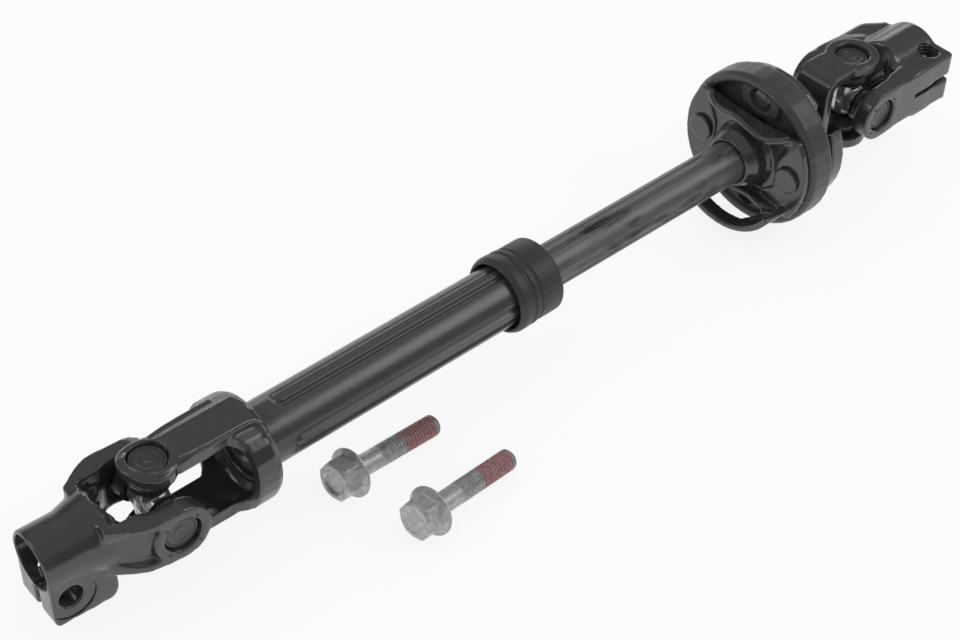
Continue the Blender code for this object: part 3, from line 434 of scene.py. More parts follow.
# Makers of pieces.
def new_piece(name, work, data=None):
    """An object of that name with the mesh that was being worked on."""
    data = data or bpy.data.meshes.new(name)
    work.to_mesh(data)
    work.free()
    piece = bpy.data.objects.new(name, data)
    bpy.context.scene.collection.objects.link(piece)
    return piece


def merged_copy(node, name):
    """A copy of a CAD node with its loose triangles joined."""
    data = nodes[node].data.copy()
    data.name = name
    work = bmesh.new()
    work.from_mesh(data)
    bmesh.ops.remove_doubles(work, verts=work.verts, dist=0.000002)
    return new_piece(name, work, data)


def join_meshes(name, pieces):
    """One object holding several closed shells."""
    work = bmesh.new()
    for piece in pieces:
        work.from_mesh(piece.data)
    for piece in pieces:
        bpy.data.objects.remove(piece)
    return new_piece(name, work)


def settle(piece):
    """Applies every modifier of a piece, and leaves it a plain mesh."""
    shown = piece.evaluated_get(bpy.context.evaluated_depsgraph_get())
    data = bpy.data.meshes.new_from_object(shown)
    piece.modifiers.clear()
    piece.data = data
    return piece


def crisp(piece, limit=38):
    piece.data.shade_smooth()
    piece.data.set_sharp_from_angle(angle=radians(limit))
    return piece


def carve(piece, cutters):
    """Cuts each tool out of a piece, with sharp edges."""
    for tool in cutters:
        modifier = piece.modifiers.new("cut", "BOOLEAN")
        modifier.operation = "DIFFERENCE"
        modifier.solver = "EXACT"
        modifier.object = tool
    settle(piece)
    for tool in cutters:
        bpy.data.objects.remove(tool)
    return piece


def soften(piece, voxel, passes):
    """One even skin over all the shells of a piece, with soft edges and inner corners."""
    skin = piece.modifiers.new("skin", "REMESH")
    skin.mode = "VOXEL"
    skin.voxel_size = voxel
    soft = piece.modifiers.new("soft", "SMOOTH")
    soft.factor = 0.5
    soft.iterations = passes
    settle(piece)
    piece.data.shade_smooth()


def forged(node, voxel=0.00045, passes=6, stock=(), room=()):
    """A forging over a CAD node's shape and more stock on it, with room cut for what swings past."""
    piece = join_meshes(node + "_skin", [merged_copy(node, node + "_core"), *stock])
    if room:
        soften(piece, voxel, 0)
        carve(piece, room)
    soften(piece, voxel, passes)
    return piece


def dress(piece, node):
    """Gives a piece its node's finish and place on the moving part, and hides the node."""
    piece.data.materials.clear()
    piece.data.materials.append(FINISHES[SLOT_OF[node]])
    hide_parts(node)
    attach(piece, BODY_OF[node])


# Geometry Nodes: a small kit for building each tree.
class Recipe:
    """A Geometry Nodes tree in the making, with named inputs."""

    def __init__(self, name, **sizes):
        self.tree = bpy.data.node_groups.new(name, "GeometryNodeTree")
        face = self.tree.interface
        face.new_socket("Geometry", in_out="INPUT", socket_type="NodeSocketGeometry")
        face.new_socket("Geometry", in_out="OUTPUT", socket_type="NodeSocketGeometry")
        self.ids = {}
        for key, value in sizes.items():
            whole = isinstance(value, int)
            kind = "NodeSocketInt" if whole else "NodeSocketFloat"
            socket = face.new_socket(key.replace("_", " "), in_out="INPUT", socket_type=kind)
            socket.default_value = value
            self.ids[key] = socket.identifier
        self.given = self.tree.nodes.new("NodeGroupInput").outputs
        self.result = self.tree.nodes.new("NodeGroupOutput").inputs["Geometry"]

    def size(self, key):
        return self.given[key.replace("_", " ")]

    def put(self, kind, *values, out=0, **settings):
        """Adds a node; values go to its sockets in order, and None leaves a socket as it is."""
        node = self.tree.nodes.new(kind)
        for key, value in settings.items():
            setattr(node, key, value)
        sockets = [socket for socket in node.inputs if socket.enabled]
        for socket, value in zip(sockets, values):
            if value is None:
                continue
            if isinstance(value, bpy.types.NodeSocket):
                self.tree.links.new(value, socket)
            else:
                socket.default_value = value
        return node.outputs[out]

    def math(self, operation, *values):
        return self.put("ShaderNodeMath", *values, operation=operation)

    def add(self, *values):
        return self.math("ADD", *values)

    def times(self, *values):
        return self.math("MULTIPLY", *values)

    def less(self, first, second):
        return self.math("SUBTRACT", first, second)

    def share(self, value, low, high, start=0.0, end=1.0, smooth=False):
        """How far a value is from low to high, kept within the ends."""
        node = self.tree.nodes.new("ShaderNodeMapRange")
        node.interpolation_type = "SMOOTHSTEP" if smooth else "LINEAR"
        names = ("Value", "From Min", "From Max", "To Min", "To Max")
        for key, number in zip(names, (value, low, high, start, end)):
            if isinstance(number, (int, float)):
                node.inputs[key].default_value = number
            else:
                self.tree.links.new(number, node.inputs[key])
        return node.outputs["Result"]

    def vector(self, *values):
        return self.put("ShaderNodeCombineXYZ", *values)

    def wrapped_sheet(self, columns, rows):
        """A sheet of columns along and rows around, its place giving the column and the angle."""
        width = self.times(columns, 1.0)
        sheet = self.put("GeometryNodeMeshGrid", width, 2 * pi, self.add(columns, 1.0), rows)
        place = self.put("GeometryNodeInputPosition")
        parts = self.tree.nodes.new("ShaderNodeSeparateXYZ")
        self.tree.links.new(place, parts.inputs[0])
        column = self.add(parts.outputs[0], self.times(columns, 0.5))
        return sheet, column, parts.outputs[1]

    def around_x(self, station, radius, angle):
        """The place at a station along X, at a radius and angle about that axis."""
        across = self.times(radius, self.math("COSINE", angle))
        up = self.times(radius, self.math("SINE", angle))
        return self.vector(station, across, up)

    def fraction(self, value):
        return self.math("FRACT", value)

    def finish(self, shape, material, smooth=True):
        shape = self.put("GeometryNodeMergeByDistance", shape, None, 0.000002)
        shape = self.put("GeometryNodeSetShadeSmooth", shape, None, smooth)
        shape = self.put("GeometryNodeRealizeInstances", shape)
        shape = self.put("GeometryNodeSetMaterial", shape, None, material)
        self.tree.links.new(shape, self.result)

    def grow(self, name, frame, **sizes):
        """Runs the tree on an empty mesh and gives the plain mesh that it makes, in the frame given."""
        piece = bpy.data.objects.new(name, bpy.data.meshes.new(name))
        bpy.context.scene.collection.objects.link(piece)
        modifier = piece.modifiers.new("recipe", "NODES")
        modifier.node_group = self.tree
        for key, value in sizes.items():
            modifier[self.ids[key]] = value
        settle(piece)
        piece.data.transform(frame)
        return piece


TUBE_R = 11.4 * MM
TUBE_BORE_R = 8.75 * MM
FLUTE_START = -229.0 * MM


def fluted_tube():
    """Drawn tube with four flutes: a rolled rib in a U-shaped groove, open towards the collar."""
    r = Recipe(
        "fluted tube", Start=0.0, End=0.1, Radius=TUBE_R, Bore=TUBE_BORE_R, Flute_Start=0.0,
        Groove_Depth=1.15 * MM, Groove_Offset=2.45 * MM, Along=270, Around=321,
    )
    columns = r.add(r.size("Along"), 24.0)
    sheet, column, angle = r.wrapped_sheet(columns, r.size("Around"))
    outside = r.put("ShaderNodeClamp", r.math("DIVIDE", column, r.size("Along")))
    past = r.less(column, r.size("Along"))
    end_face = r.share(past, 0.0, 4.0)
    inside = r.share(past, 4.0, 20.0)
    start_face = r.share(past, 20.0, 24.0)
    length = r.less(r.size("End"), r.size("Start"))
    station = r.add(r.size("Start"), r.times(length, r.less(outside, inside)))
    quarter = r.less(r.math("MODULO", r.add(angle, 4.25 * pi), pi / 2), pi / 4)
    offset = r.times(quarter, r.size("Radius"))
    before = r.math("MINIMUM", r.less(station, r.size("Flute_Start")), 0.0)
    reach = r.math("SQRT", r.add(r.times(offset, offset), r.times(before, before)))
    from_groove = r.math("ABSOLUTE", r.less(reach, r.size("Groove_Offset")))
    dent = r.share(from_groove, 0.3 * MM, 1.6 * MM, 1.0, 0.0, smooth=True)
    rib = r.share(reach, 0.2 * MM, 1.2 * MM, 0.15, 0.0, smooth=True)
    ease = r.share(station, r.less(r.size("Flute_Start"), 3.2 * MM), r.less(r.size("Flute_Start"), 1.2 * MM))
    sunk = r.times(r.add(dent, rib), r.times(r.size("Groove_Depth"), ease))
    outer = r.less(r.size("Radius"), sunk)
    wall = r.less(end_face, start_face)
    radius = r.add(outer, r.times(wall, r.less(r.size("Bore"), outer)))
    bent = r.put("GeometryNodeSetPosition", sheet, None, r.around_x(station, radius, angle))
    r.finish(bent, FINISHES["tube_paint"])
    piece = r.grow("fluted_tube", SHAFT, Start=TUBE_START, End=TUBE_END, Flute_Start=FLUTE_START + 3.4 * MM)
    dress(piece, "outer_tube")


fluted_tube()

# Turned pieces.
def along(frame, direction):
    """A frame whose X axis runs along a direction of the frame given."""
    return frame @ Vector(direction).to_track_quat("X", "Z").to_matrix().to_4x4()


def eased(profile, size, steps=3):
    """A profile with each corner rounded off."""
    points = [profile[0]]
    for before, corner, after in zip(profile, profile[1:], profile[2:]):
        corner = Vector(corner)
        ways = [Vector(before) - corner, Vector(after) - corner]
        if min(way.length for way in ways) < 1e-7:
            continue
        start, end = [corner + way.normalized() * min(size, way.length / 2.1) for way in ways]
        for i in range(steps + 1):
            t = i / steps
            points.append(tuple(start * (1 - t) ** 2 + corner * 2 * t * (1 - t) + end * t * t))
    return points + [profile[-1]]


def shell_of(rings, name, frame, hollow=False):
    """A closed mesh over rings of points; a ring of one point closes an end."""
    work = bmesh.new()
    made = [[work.verts.new(frame @ Vector(point)) for point in ring] for ring in rings]
    pairs = list(zip(made, made[1:]))
    if hollow:
        pairs.append((made[-1], made[0]))
    for first, second in pairs:
        count = max(len(first), len(second))
        for i in range(count):
            j = (i + 1) % count
            corners = [ring[k % len(ring)] for ring, k in ((first, i), (second, i), (second, j), (first, j))]
            corners = [corner for k, corner in enumerate(corners) if corner is not corners[k - 1]]
            work.faces.new(corners)
    bmesh.ops.recalc_face_normals(work, faces=work.faces)
    return crisp(new_piece(name, work), 42)


def circle(station, radius, sides):
    if radius < 1e-7:
        return [(station, 0, 0)]
    angles = [2 * pi * i / sides for i in range(sides)]
    return [(station, radius * cos(a), radius * sin(a)) for a in angles]


def turned(name, frame, profile, sides=64, hollow=False):
    """A piece turned from a profile of (station, radius) points about its frame's X axis."""
    return shell_of([circle(station, radius, sides) for station, radius in profile], name, frame, hollow)


UP, DOWN, FRONT, REAR = (0, 0, 1), (0, 0, -1), (0, -1, 0), (0, 1, 0)
JOINTS = {"lower": (LOWER_YOKE, LOWER_CROSS), "upper": (UPPER, UPPER)}
SIDES = {"top": UP, "bottom": DOWN, "front": FRONT, "rear": REAR}
CUP_FACE = EAR_FACE - 1.7 * MM
CUP_MOUTH = CUP_FACE - 5.6 * MM


def bearing_cup(node, frame):
    """A drawn cup with the rings and the dimple that its punch leaves in the face."""
    face = [(17.22, 0), (17.2, 0.9), (17.42, 1.35), (17.42, 2.3), (17.2, 2.65), (17.18, 3.5), (17.44, 3.9)]
    face += [(17.46, 5.0), (17.28, 5.25), (17.28, 5.55), (17.44, 5.8), (17.4, 6.1), (17.0, 6.4)]
    profile = [(station * MM, radius * MM) for station, radius in face]
    profile += [(CUP_MOUTH, 6.4 * MM), (CUP_MOUTH, 5.15 * MM), (16.2 * MM, 5.15 * MM), (16.2 * MM, 0)]
    dress(turned(node + "_drawn", frame, eased(profile, 0.14 * MM)), node)


def ridged_seals():
    """Seals that widen from the cross to the cup in stacked lips."""
    r = Recipe(
        "ridged seal",
        Low=7.6 * MM, High=CUP_MOUTH - 0.3 * MM, Bore=4.35 * MM, Root=5.2 * MM, Mouth=6.95 * MM,
        Ridges=5.0, Lip=0.42 * MM, Along=60, Around=97,
    )
    columns = r.add(r.size("Along"), 12.0)
    sheet, column, angle = r.wrapped_sheet(columns, r.size("Around"))
    outside = r.put("ShaderNodeClamp", r.math("DIVIDE", column, r.size("Along")))
    past = r.less(column, r.size("Along"))
    inside = r.share(past, 2.0, 10.0)
    wall = r.less(r.share(past, 0.0, 2.0), r.share(past, 10.0, 12.0))
    station = r.add(r.size("Low"), r.times(r.less(r.size("High"), r.size("Low")), r.less(outside, inside)))
    step = r.fraction(r.times(outside, r.less(r.size("Ridges"), 0.001)))
    rise = r.share(step, 0.05, 0.7, smooth=True)
    lip = r.times(r.size("Lip"), r.less(rise, r.share(step, 0.8, 1.0, smooth=True)))
    flare = r.less(r.size("Mouth"), r.size("Root"))
    cone = r.add(r.size("Root"), r.times(flare, r.math("POWER", outside, 0.8)))
    outer = r.less(r.add(cone, lip), r.times(r.size("Lip"), 0.5))
    radius = r.add(outer, r.times(wall, r.less(r.size("Bore"), outer)))
    bent = r.put("GeometryNodeSetPosition", sheet, None, r.around_x(station, radius, angle))
    r.finish(bent, FINISHES["seal_rubber"])
    for joint, (_, cross) in JOINTS.items():
        for word, side in SIDES.items():
            node = f"{joint}_seal_{word}"
            dress(r.grow(node + "_ridged", along(cross, side)), node)


def cross_joint_parts():
    ridged_seals()
    for joint, (yoke, cross) in JOINTS.items():
        for word, side in SIDES.items():
            bearing_cup(f"{joint}_cup_{word}", along(yoke if word in ("top", "bottom") else cross, side))
        dress(forged(joint + "_cross", 0.0003, 8), joint + "_cross")


def needle_rollers():
    """The full ring of loose rollers between each cup and its trunnion."""
    r = Recipe(
        "needle rollers",
        Count=26, Ring=4.58 * MM, Radius=0.27 * MM, Low=CUP_MOUTH + 0.4 * MM, Length=3.4 * MM,
    )
    roller = r.put("GeometryNodeMeshCylinder", 10, 1, 1, r.size("Radius"), r.size("Length"))
    loop = r.put("GeometryNodeMeshCircle", r.size("Count"), r.size("Ring"))
    rollers = r.put("GeometryNodeInstanceOnPoints", loop, None, roller)
    lift = r.vector(0.0, 0.0, r.add(r.size("Low"), r.times(r.size("Length"), 0.5)))
    r.finish(r.put("GeometryNodeTransform", rollers, lift), FINISHES["needle_steel"])
    upright = Matrix.Rotation(pi / 2, 4, "Y")
    for joint, (_, cross) in JOINTS.items():
        for word, side in SIDES.items():
            node = f"{joint}_needles_{word}"
            dress(r.grow(node + "_rollers", along(cross, side) @ upright), node)


# Bolts.
BOLT_PLACES = (
    ("pinch_bolt_left", -208.6 * MM, -15.2 * MM, radians(4.4)),
    ("pinch_bolt_right", -199.9 * MM, -45.4 * MM, radians(6.4)),
)
BOLT_LENGTH = 40.0 * MM


def bolt_frame(x, y, turn):
    """Where a bolt lies: on the rim of its flange and the end of its thread."""
    tilt = atan2(9.0 - 3.85, 40.0 - 1.4)
    lift = Matrix.Translation((SHIFT.x + x, SHIFT.y + y, 9.0 * MM * cos(tilt)))
    return lift @ Euler((0, tilt, turn)).to_matrix().to_4x4()


def bolt_head(name, dimple):
    """Hexagon head forged in one with its washer flange."""
    sides = 96
    flat = 7.45 * MM * cos(pi / 6)
    face = -8.6 * MM
    corner = [flat / cos((2 * pi * i / sides) % (pi / 3) - pi / 6) for i in range(sides)]

    def hexagon(heights, radii):
        angles = [2 * pi * i / sides for i in range(sides)]
        return [(h, r * cos(a), r * sin(a)) for h, r, a in zip(heights, radii, angles)]

    edge = flat * 0.93
    rings = [[(face + (1.0 * MM if dimple else 0.25 * MM), 0, 0)]]
    if dimple:
        rings += [circle(face + 1.0 * MM, 3.9 * MM, sides), circle(face, 4.9 * MM, sides)]
    else:
        rings += [circle(face + 0.25 * MM, 4.4 * MM, sides), circle(face, 4.9 * MM, sides)]
    rings.append(circle(face, edge, sides))
    rings.append(hexagon([face + (radius - edge) * 0.6 for radius in corner], corner))
    slope = 1.2 * MM / (9.0 * MM - flat)
    rings.append(hexagon([-1.1 * MM - (9.0 * MM - radius) * slope for radius in corner], corner))
    for station, radius in ((-0.9, 8.95), (-0.1, 8.95), (-0.02, 8.6)):
        rings.append(circle(station * MM, radius * MM, sides))
    rings += [circle(0.0, 4.6 * MM, sides), circle(0.6 * MM, 3.9 * MM, sides), circle(0.6 * MM, 0, sides)]
    head = shell_of(rings, name, Matrix.Identity(4))
    remesh = head.modifiers.new("skin", "REMESH")
    remesh.mode = "VOXEL"
    remesh.voxel_size = 0.00018
    remesh.use_smooth_shade = True
    soften = head.modifiers.new("soften", "SMOOTH")
    soften.factor = 0.5
    soften.iterations = 4
    return settle(head)


def bolt_thread():
    """Shank, neck ring and rolled thread: a sheet wrapped round the bolt and raised along a helix."""
    r = Recipe(
        "rolled thread", Length=BOLT_LENGTH, Shank=11.5 * MM, Pitch=1.4 * MM, Root=3.15 * MM, Crest=3.88 * MM,
        Plain=3.8 * MM, Chamfer=1.2 * MM, Along=420, Around=49,
    )
    columns = r.add(r.size("Along"), 4.0)
    sheet, column, angle = r.wrapped_sheet(columns, r.size("Around"))
    outside = r.put("ShaderNodeClamp", r.math("DIVIDE", column, r.size("Along")))
    station = r.times(r.size("Length"), outside)
    turn = r.fraction(r.less(r.math("DIVIDE", station, r.size("Pitch")), r.math("DIVIDE", angle, 2 * pi)))
    flank = r.less(r.share(turn, 0.06, 0.44, smooth=True), r.share(turn, 0.56, 0.94, smooth=True))
    start = r.share(station, r.size("Shank"), r.add(r.size("Shank"), 1.2 * MM), smooth=True)
    deep = r.less(r.size("Crest"), r.size("Root"))
    thread = r.add(r.size("Root"), r.times(deep, flank))
    neck = r.math("ABSOLUTE", r.less(station, r.add(r.size("Shank"), 0.9 * MM)))
    plain = r.add(r.size("Plain"), r.share(neck, 0.0, 0.6 * MM, 0.1 * MM, 0.0, smooth=True))
    radius = r.add(r.times(plain, r.less(1.0, start)), r.times(thread, start))
    left = r.less(r.size("Length"), station)
    nose = r.share(left, 0.0, r.size("Chamfer"), r.less(r.size("Root"), 0.5 * MM), r.size("Crest"))
    radius = r.math("MINIMUM", radius, nose)
    closed = r.share(r.less(column, r.size("Along")), 0.0, 4.0, 1.0, 0.0)
    opened = r.share(column, 0.0, 1.0)
    radius = r.times(r.times(radius, closed), opened)
    bent = r.put("GeometryNodeSetPosition", sheet, None, r.around_x(station, radius, angle))
    r.finish(bent, FINISHES["zinc"])
    return r


def pinch_bolts():
    recipe = bolt_thread()
    for number, (node, x, y, turn) in enumerate(BOLT_PLACES):
        head = bolt_head(node + "_head", number == 0)
        shank = recipe.grow(node + "_shank", Matrix.Identity(4))
        bolt = join_meshes(node + "_forged", [head, shank])
        crisp(bolt, 50)
        reach = bolt.data.attributes.new("reach", "FLOAT", "POINT")
        reach.data.foreach_set("value", [vertex.co.x for vertex in bolt.data.vertices])
        bolt.data.transform(bolt_frame(x, y, turn))
        dress(bolt, node)


# Forged and pressed pieces: the CAD's shape, more stock on it, one soft skin over all, then sharp cuts.
def bar(name, frame, points, radius, sides=12):
    """A round bar along a path, in millimetres."""
    path = [Vector(point) * MM for point in points]
    rings = [[tuple(path[0])]]
    for before, spot, after in zip([path[0]] + path, path, path[1:] + [path[-1]]):
        turn = (after - before).to_track_quat("X", "Z")
        ring = [spot + turn @ Vector((0, radius * MM * cos(a), radius * MM * sin(a)))
                for a in [2 * pi * i / sides for i in range(sides)]]
        rings.append([tuple(point) for point in ring])
    rings.append([tuple(path[-1])])
    return shell_of(rings, name, frame)


def slab(name, frame, outline, low, high, plane="XY", rounding=0.0):
    """A plate of an outline's shape, in millimetres, with its edges rounded."""
    order = {"XY": (0, 1, 2), "XZ": (0, 2, 1), "YZ": (2, 0, 1)}[plane]
    work = bmesh.new()
    ends = [
        [work.verts.new(Vector([(u, v, w)[k] for k in order]) * MM) for u, v in outline]
        for w in (low, high)
    ]
    for i in range(len(outline)):
        j = (i + 1) % len(outline)
        work.faces.new((ends[0][i], ends[0][j], ends[1][j], ends[1][i]))
    work.faces.new(ends[0])
    work.faces.new(ends[1])
    bmesh.ops.recalc_face_normals(work, faces=work.faces)
    if rounding:
        bmesh.ops.bevel(
            work, geom=work.edges[:], offset=rounding * MM, segments=3, profile=0.5, affect="EDGES",
            clamp_overlap=True,
        )
    bmesh.ops.transform(work, matrix=frame, verts=work.verts)
    return new_piece(name, work)


def balls(name, frame, places, radius):
    """Small balls at several places, in millimetres, as one mesh."""
    work = bmesh.new()
    for place in places:
        spot = frame @ Matrix.Translation(Vector(place) * MM)
        bmesh.ops.create_icosphere(work, subdivisions=2, radius=radius * MM, matrix=spot)
    return new_piece(name, work)


def in_metres(profile):
    return [(station * MM, radius * MM) for station, radius in profile]


def plug(name, frame, low, high, radius, sides=72):
    """A round cutter, in millimetres."""
    return turned(name, frame, in_metres([(low, 0), (low, radius), (high, radius), (high, 0)]), sides)


STAKE_ANGLES = [radians(45 + 90 * i) for i in range(4)]


def ear_cuts(name, frame, sides):
    """Sharpens each ear's bore round its cup and punches four stakes beside it."""
    cutters = []
    for word, side in sides:
        axis = along(frame, side)
        cutters.append(plug(f"{name}_bore_{word}", axis, 9.0, 24.0, 6.72))
        spots = [(19.55, 7.75 * cos(a), 7.75 * sin(a)) for a in STAKE_ANGLES]
        cutters.append(balls(f"{name}_punch_{word}", axis, spots, 0.85))
    return cutters


def stakes(name, frame, sides):
    """The metal that the punches push over each cup's rim."""
    lumps = []
    for word, side in sides:
        spots = [(18.15, 6.55 * cos(a), 6.55 * sin(a)) for a in STAKE_ANGLES]
        lumps.append(balls(f"{name}_stake_{word}", along(frame, side), spots, 0.75))
    return lumps


SERRATION_TEETH = 32
SERRATION_ROOT_R = 8.75
SERRATION_CREST_R = 8.1
SWING_LIMIT = radians(28)
SWING_ROOM_R = 11.6


def serrated_bore(name, frame, low, reach, lead_in=6.0, mouth=9.6):
    """Cutter for a hub's serrated bore with its plain, chamfered mouth."""
    sides = 4 * SERRATION_TEETH
    rings = []
    for station, toothed, radius in (
        (low, True, 0), (reach - lead_in, True, 0), (reach - lead_in + 0.8, False, mouth),
        (reach - 0.5, False, mouth), (reach + 0.3, False, mouth + 0.7), (reach + 2.0, False, mouth + 0.7),
    ):
        ring = []
        for i in range(sides):
            if toothed:
                radius = SERRATION_ROOT_R if i % 4 in (0, 1) else SERRATION_CREST_R
            angle = 2 * pi * i / sides
            ring.append((station * MM, radius * MM * cos(angle), radius * MM * sin(angle)))
        rings.append(ring)
    rings = [[(low * MM, 0, 0)]] + rings + [[((reach + 2.0) * MM, 0, 0)]]
    return shell_of(rings, name, frame)


def thread_cutter():
    """Helical tool that leaves an inside thread in a drilled hole."""
    r = Recipe(
        "thread tap",
        Length=30.0 * MM, Pitch=1.5 * MM, Root=3.9 * MM, Crest=4.75 * MM, Along=300, Around=41,
    )
    columns = r.add(r.size("Along"), 0.0)
    sheet, column, angle = r.wrapped_sheet(columns, r.size("Around"))
    station = r.times(r.size("Length"), r.less(0.5, r.math("DIVIDE", column, r.size("Along"))))
    turn = r.fraction(r.less(r.math("DIVIDE", station, r.size("Pitch")), r.math("DIVIDE", angle, 2 * pi)))
    flank = r.less(r.share(turn, 0.1, 0.45), r.share(turn, 0.55, 0.9))
    radius = r.add(r.size("Root"), r.times(r.less(r.size("Crest"), r.size("Root")), flank))
    end = r.math("MINIMUM", column, r.less(r.size("Along"), column))
    radius = r.times(radius, r.share(end, 0.0, 1.0))
    bent = r.put("GeometryNodeSetPosition", sheet, None, r.around_x(station, radius, angle))
    r.finish(bent, FINISHES["bare_steel"])
    return r


def clamp_yoke(node, frame, reach, hub, pinch_spot, seat, seat_side, slit, thread, stock):
    """Forged clamp yoke: fuller stock round the hub, then bore, slit, pinch hole, seat and swing room."""
    sides = (("front", FRONT), ("rear", REAR))
    stock = list(stock) + stakes(node, frame, sides)
    bar_end = in_metres([(15.4, 0), (15.4, hub - 2.4), (18.4, hub), (reach, hub), (reach, 0)])
    stock.append(turned(node + "_hub", frame, eased(bar_end, 0.7 * MM)))
    room = []
    for word, lean in (("top", SWING_LIMIT), ("bottom", pi - SWING_LIMIT)):
        turn = frame @ Matrix.Rotation(lean, 4, "Y") @ Matrix.Rotation(-pi / 2, 4, "Y")
        room.append(plug(f"{node}_room_{word}", turn, 11.2, 40.0, SWING_ROOM_R))
    piece = forged(node, 0.00042, 24, stock, room)
    cutters = [slit, serrated_bore(node + "_serrated_bore", frame, 12.0, reach)]
    axis_spot = frame @ Matrix.Translation(Vector(pinch_spot) * MM)
    drill = [(-30.0, 0), (-30.0, 4.15), (seat, 4.15), (seat, 8.5), (seat + 8.0, 8.5), (seat + 8.0, 0)]
    cutters.append(turned(node + "_pinch_hole", along(axis_spot, seat_side), in_metres(drill), 48))
    cutters += ear_cuts(node, frame, sides)
    if thread:
        carve(piece, cutters)
        cutters = [thread_cutter().grow(node + "_tap", along(axis_spot, thread))]
    dress(crisp(carve(piece, cutters)), node)


def fuller_arms(name, frame):
    """Stock that carries the upper yoke's arms straight on to their shoulders."""
    curve = [(28 + 10.5 * i / 7, 19.1 - 5.3 * (1 - cos(pi * (i / 7) ** 1.15)) / 2) for i in range(8)]
    plan = [(16, 8.5), (13.2, 11.2), (7.2, 13.4), (7.0, 19.1)] + curve + [(38.5, 8.5)]
    return [
        slab(f"{name}_arm_{word}", frame, [(x, side * y) for x, y in plan], -9.6, 10.4, rounding=1.3)
        for word, side in (("front", -1), ("rear", 1))
    ]


def flowing_shoulders(name, frame):
    """Stock that lets the lower yoke's arms flow into its hub, in a cone with rounded corners."""
    cone = [(17.5, 0), (17.5, 12.2), (20.5, 13.5), (24.5, 12.6), (30.5, 10.9), (30.5, 0)]
    return [turned(name + "_shoulders", frame, in_metres(cone), 64)]


def clamp_yokes():
    clamp_yoke(
        "lower_clamp_yoke", LOWER_CLAMP, 43.0, 11.1, (36.0, 0, -11.4), 10.2, REAR,
        slab("lower_slit", LOWER_CLAMP, [(19.6, -1.1), (48, -1.1), (48, 1.1), (19.6, 1.1)], -45, -2), False,
        flowing_shoulders("lower_clamp_yoke", LOWER_CLAMP),
    )
    clamp_yoke(
        "upper_clamp_yoke", UPPER, 41.6, 14.2, (34.6, -11.4, 0), 10.2, DOWN,
        slab("upper_slit", UPPER, [(19.6, -1.1), (48, -1.1), (48, 1.1), (19.6, 1.1)], -45, -2, "XZ"), UP,
        fuller_arms("upper_clamp_yoke", UPPER),
    )


STRAP_EDGE = (
    (6.4, 6.9, 17.85), (11.6, 7.5, 17.8), (18.0, 7.8, 17.7), (25.0, 7.9, 17.65), (30.0, 7.9, 17.65),
    (33.4, 8.0, 17.6), (35.0, 8.4, 17.35), (36.0, 9.6, 16.7), (36.5, 11.4, 15.3), (36.3, 12.6, 14.2),
)


def tube_yoke():
    """Drawn yoke with the rolled edge that runs along each strap and turns off round the cup."""
    sides = (("top", UP), ("bottom", DOWN))
    stock = stakes("tube_yoke", LOWER_YOKE, sides)
    strap = [(5.5, 18.6), (7.3, 18.0), (8.5, 17.5), (8.5, 13.1), (5.5, 14.6)]
    for word, y, z in (("a", 1, 1), ("b", -1, 1), ("c", 1, -1), ("d", -1, -1)):
        edge = [(x, y * v, z * w) for x, v, w in (STRAP_EDGE if y < 0 else STRAP_EDGE[:5])]
        stock.append(bar(f"tube_yoke_rolled_edge_{word}", LOWER_YOKE, edge, 0.95))
        outline = [(y * v, z * w) for v, w in strap]
        stock.append(slab(f"tube_yoke_strap_{word}", LOWER_YOKE, outline, 6.0, 25.0, "YZ"))
    piece = forged("tube_yoke", 0.00045, 6, stock=stock)
    dress(crisp(carve(piece, ear_cuts("tube_yoke", LOWER_YOKE, sides))), "tube_yoke")


def strap_yoke():
    sides = (("top", UP), ("bottom", DOWN))
    piece = forged("upper_flange_yoke", 0.00042, 8, stock=stakes("upper_flange_yoke", UPPER, sides))
    dress(crisp(carve(piece, ear_cuts("upper_flange_yoke", UPPER, sides))), "upper_flange_yoke")


LIP_PATH = (
    (-2.4, 19.6, 17.4), (-4.2, 17.6, 16.2), (-5.8, 14.0, 15.6), (-5.6, 10.0, 15.0), (-4.9, 6.5, 15.0),
    (-5.4, 1.3, 14.9), (-6.5, -4.0, 14.7), (-7.3, -9.5, 14.6), (-6.9, -13.2, 14.9), (-5.0, -16.4, 15.9),
    (-2.6, -19.6, 17.4),
)


def flanges():
    """Both pressings; the lower one has a thick rolled lip along each side of its dish."""
    for node in ("lower_flange", "upper_flange"):
        stock = []
        if node == "lower_flange":
            for word, side in (("top", 1), ("bottom", -1)):
                path = [(x, side * y, side * z) for x, y, z in LIP_PATH]
                stock.append(bar(f"{node}_lip_{word}", SHAFT, path, 1.5))
        dress(forged(node, 0.00042, 8, stock=stock), node)


# Turned and moulded pieces on the shaft's axis.
RIVET_PITCH_R = 21.7 * MM


def rivets():
    """Flat heads with a soft rim and a faint dish from the snap."""
    head = [(-4.55, 0), (-4.6, 3.6), (-4.63, 4.7), (-4.3, 5.2), (-3.05, 5.25), (-3.03, 3.1)]
    tail = [(8.0, 3.1), (7.9, 4.2), (8.6, 4.0), (9.1, 3.0), (9.15, 0)]
    profile = eased(in_metres(head + tail), 0.3 * MM)
    places = (("left", 0, True), ("top", pi / 2, False), ("right", pi, True), ("bottom", -pi / 2, False))
    for word, angle, front in places:
        spot = Vector((0 if front else RING_WIDTH, RIVET_PITCH_R * cos(angle), RIVET_PITCH_R * sin(angle)))
        frame = along(SHAFT @ Matrix.Translation(spot), (1 if front else -1, 0, 0))
        dress(turned(f"rivet_{word}_snapped", frame, profile, 48), "rivet_" + word)


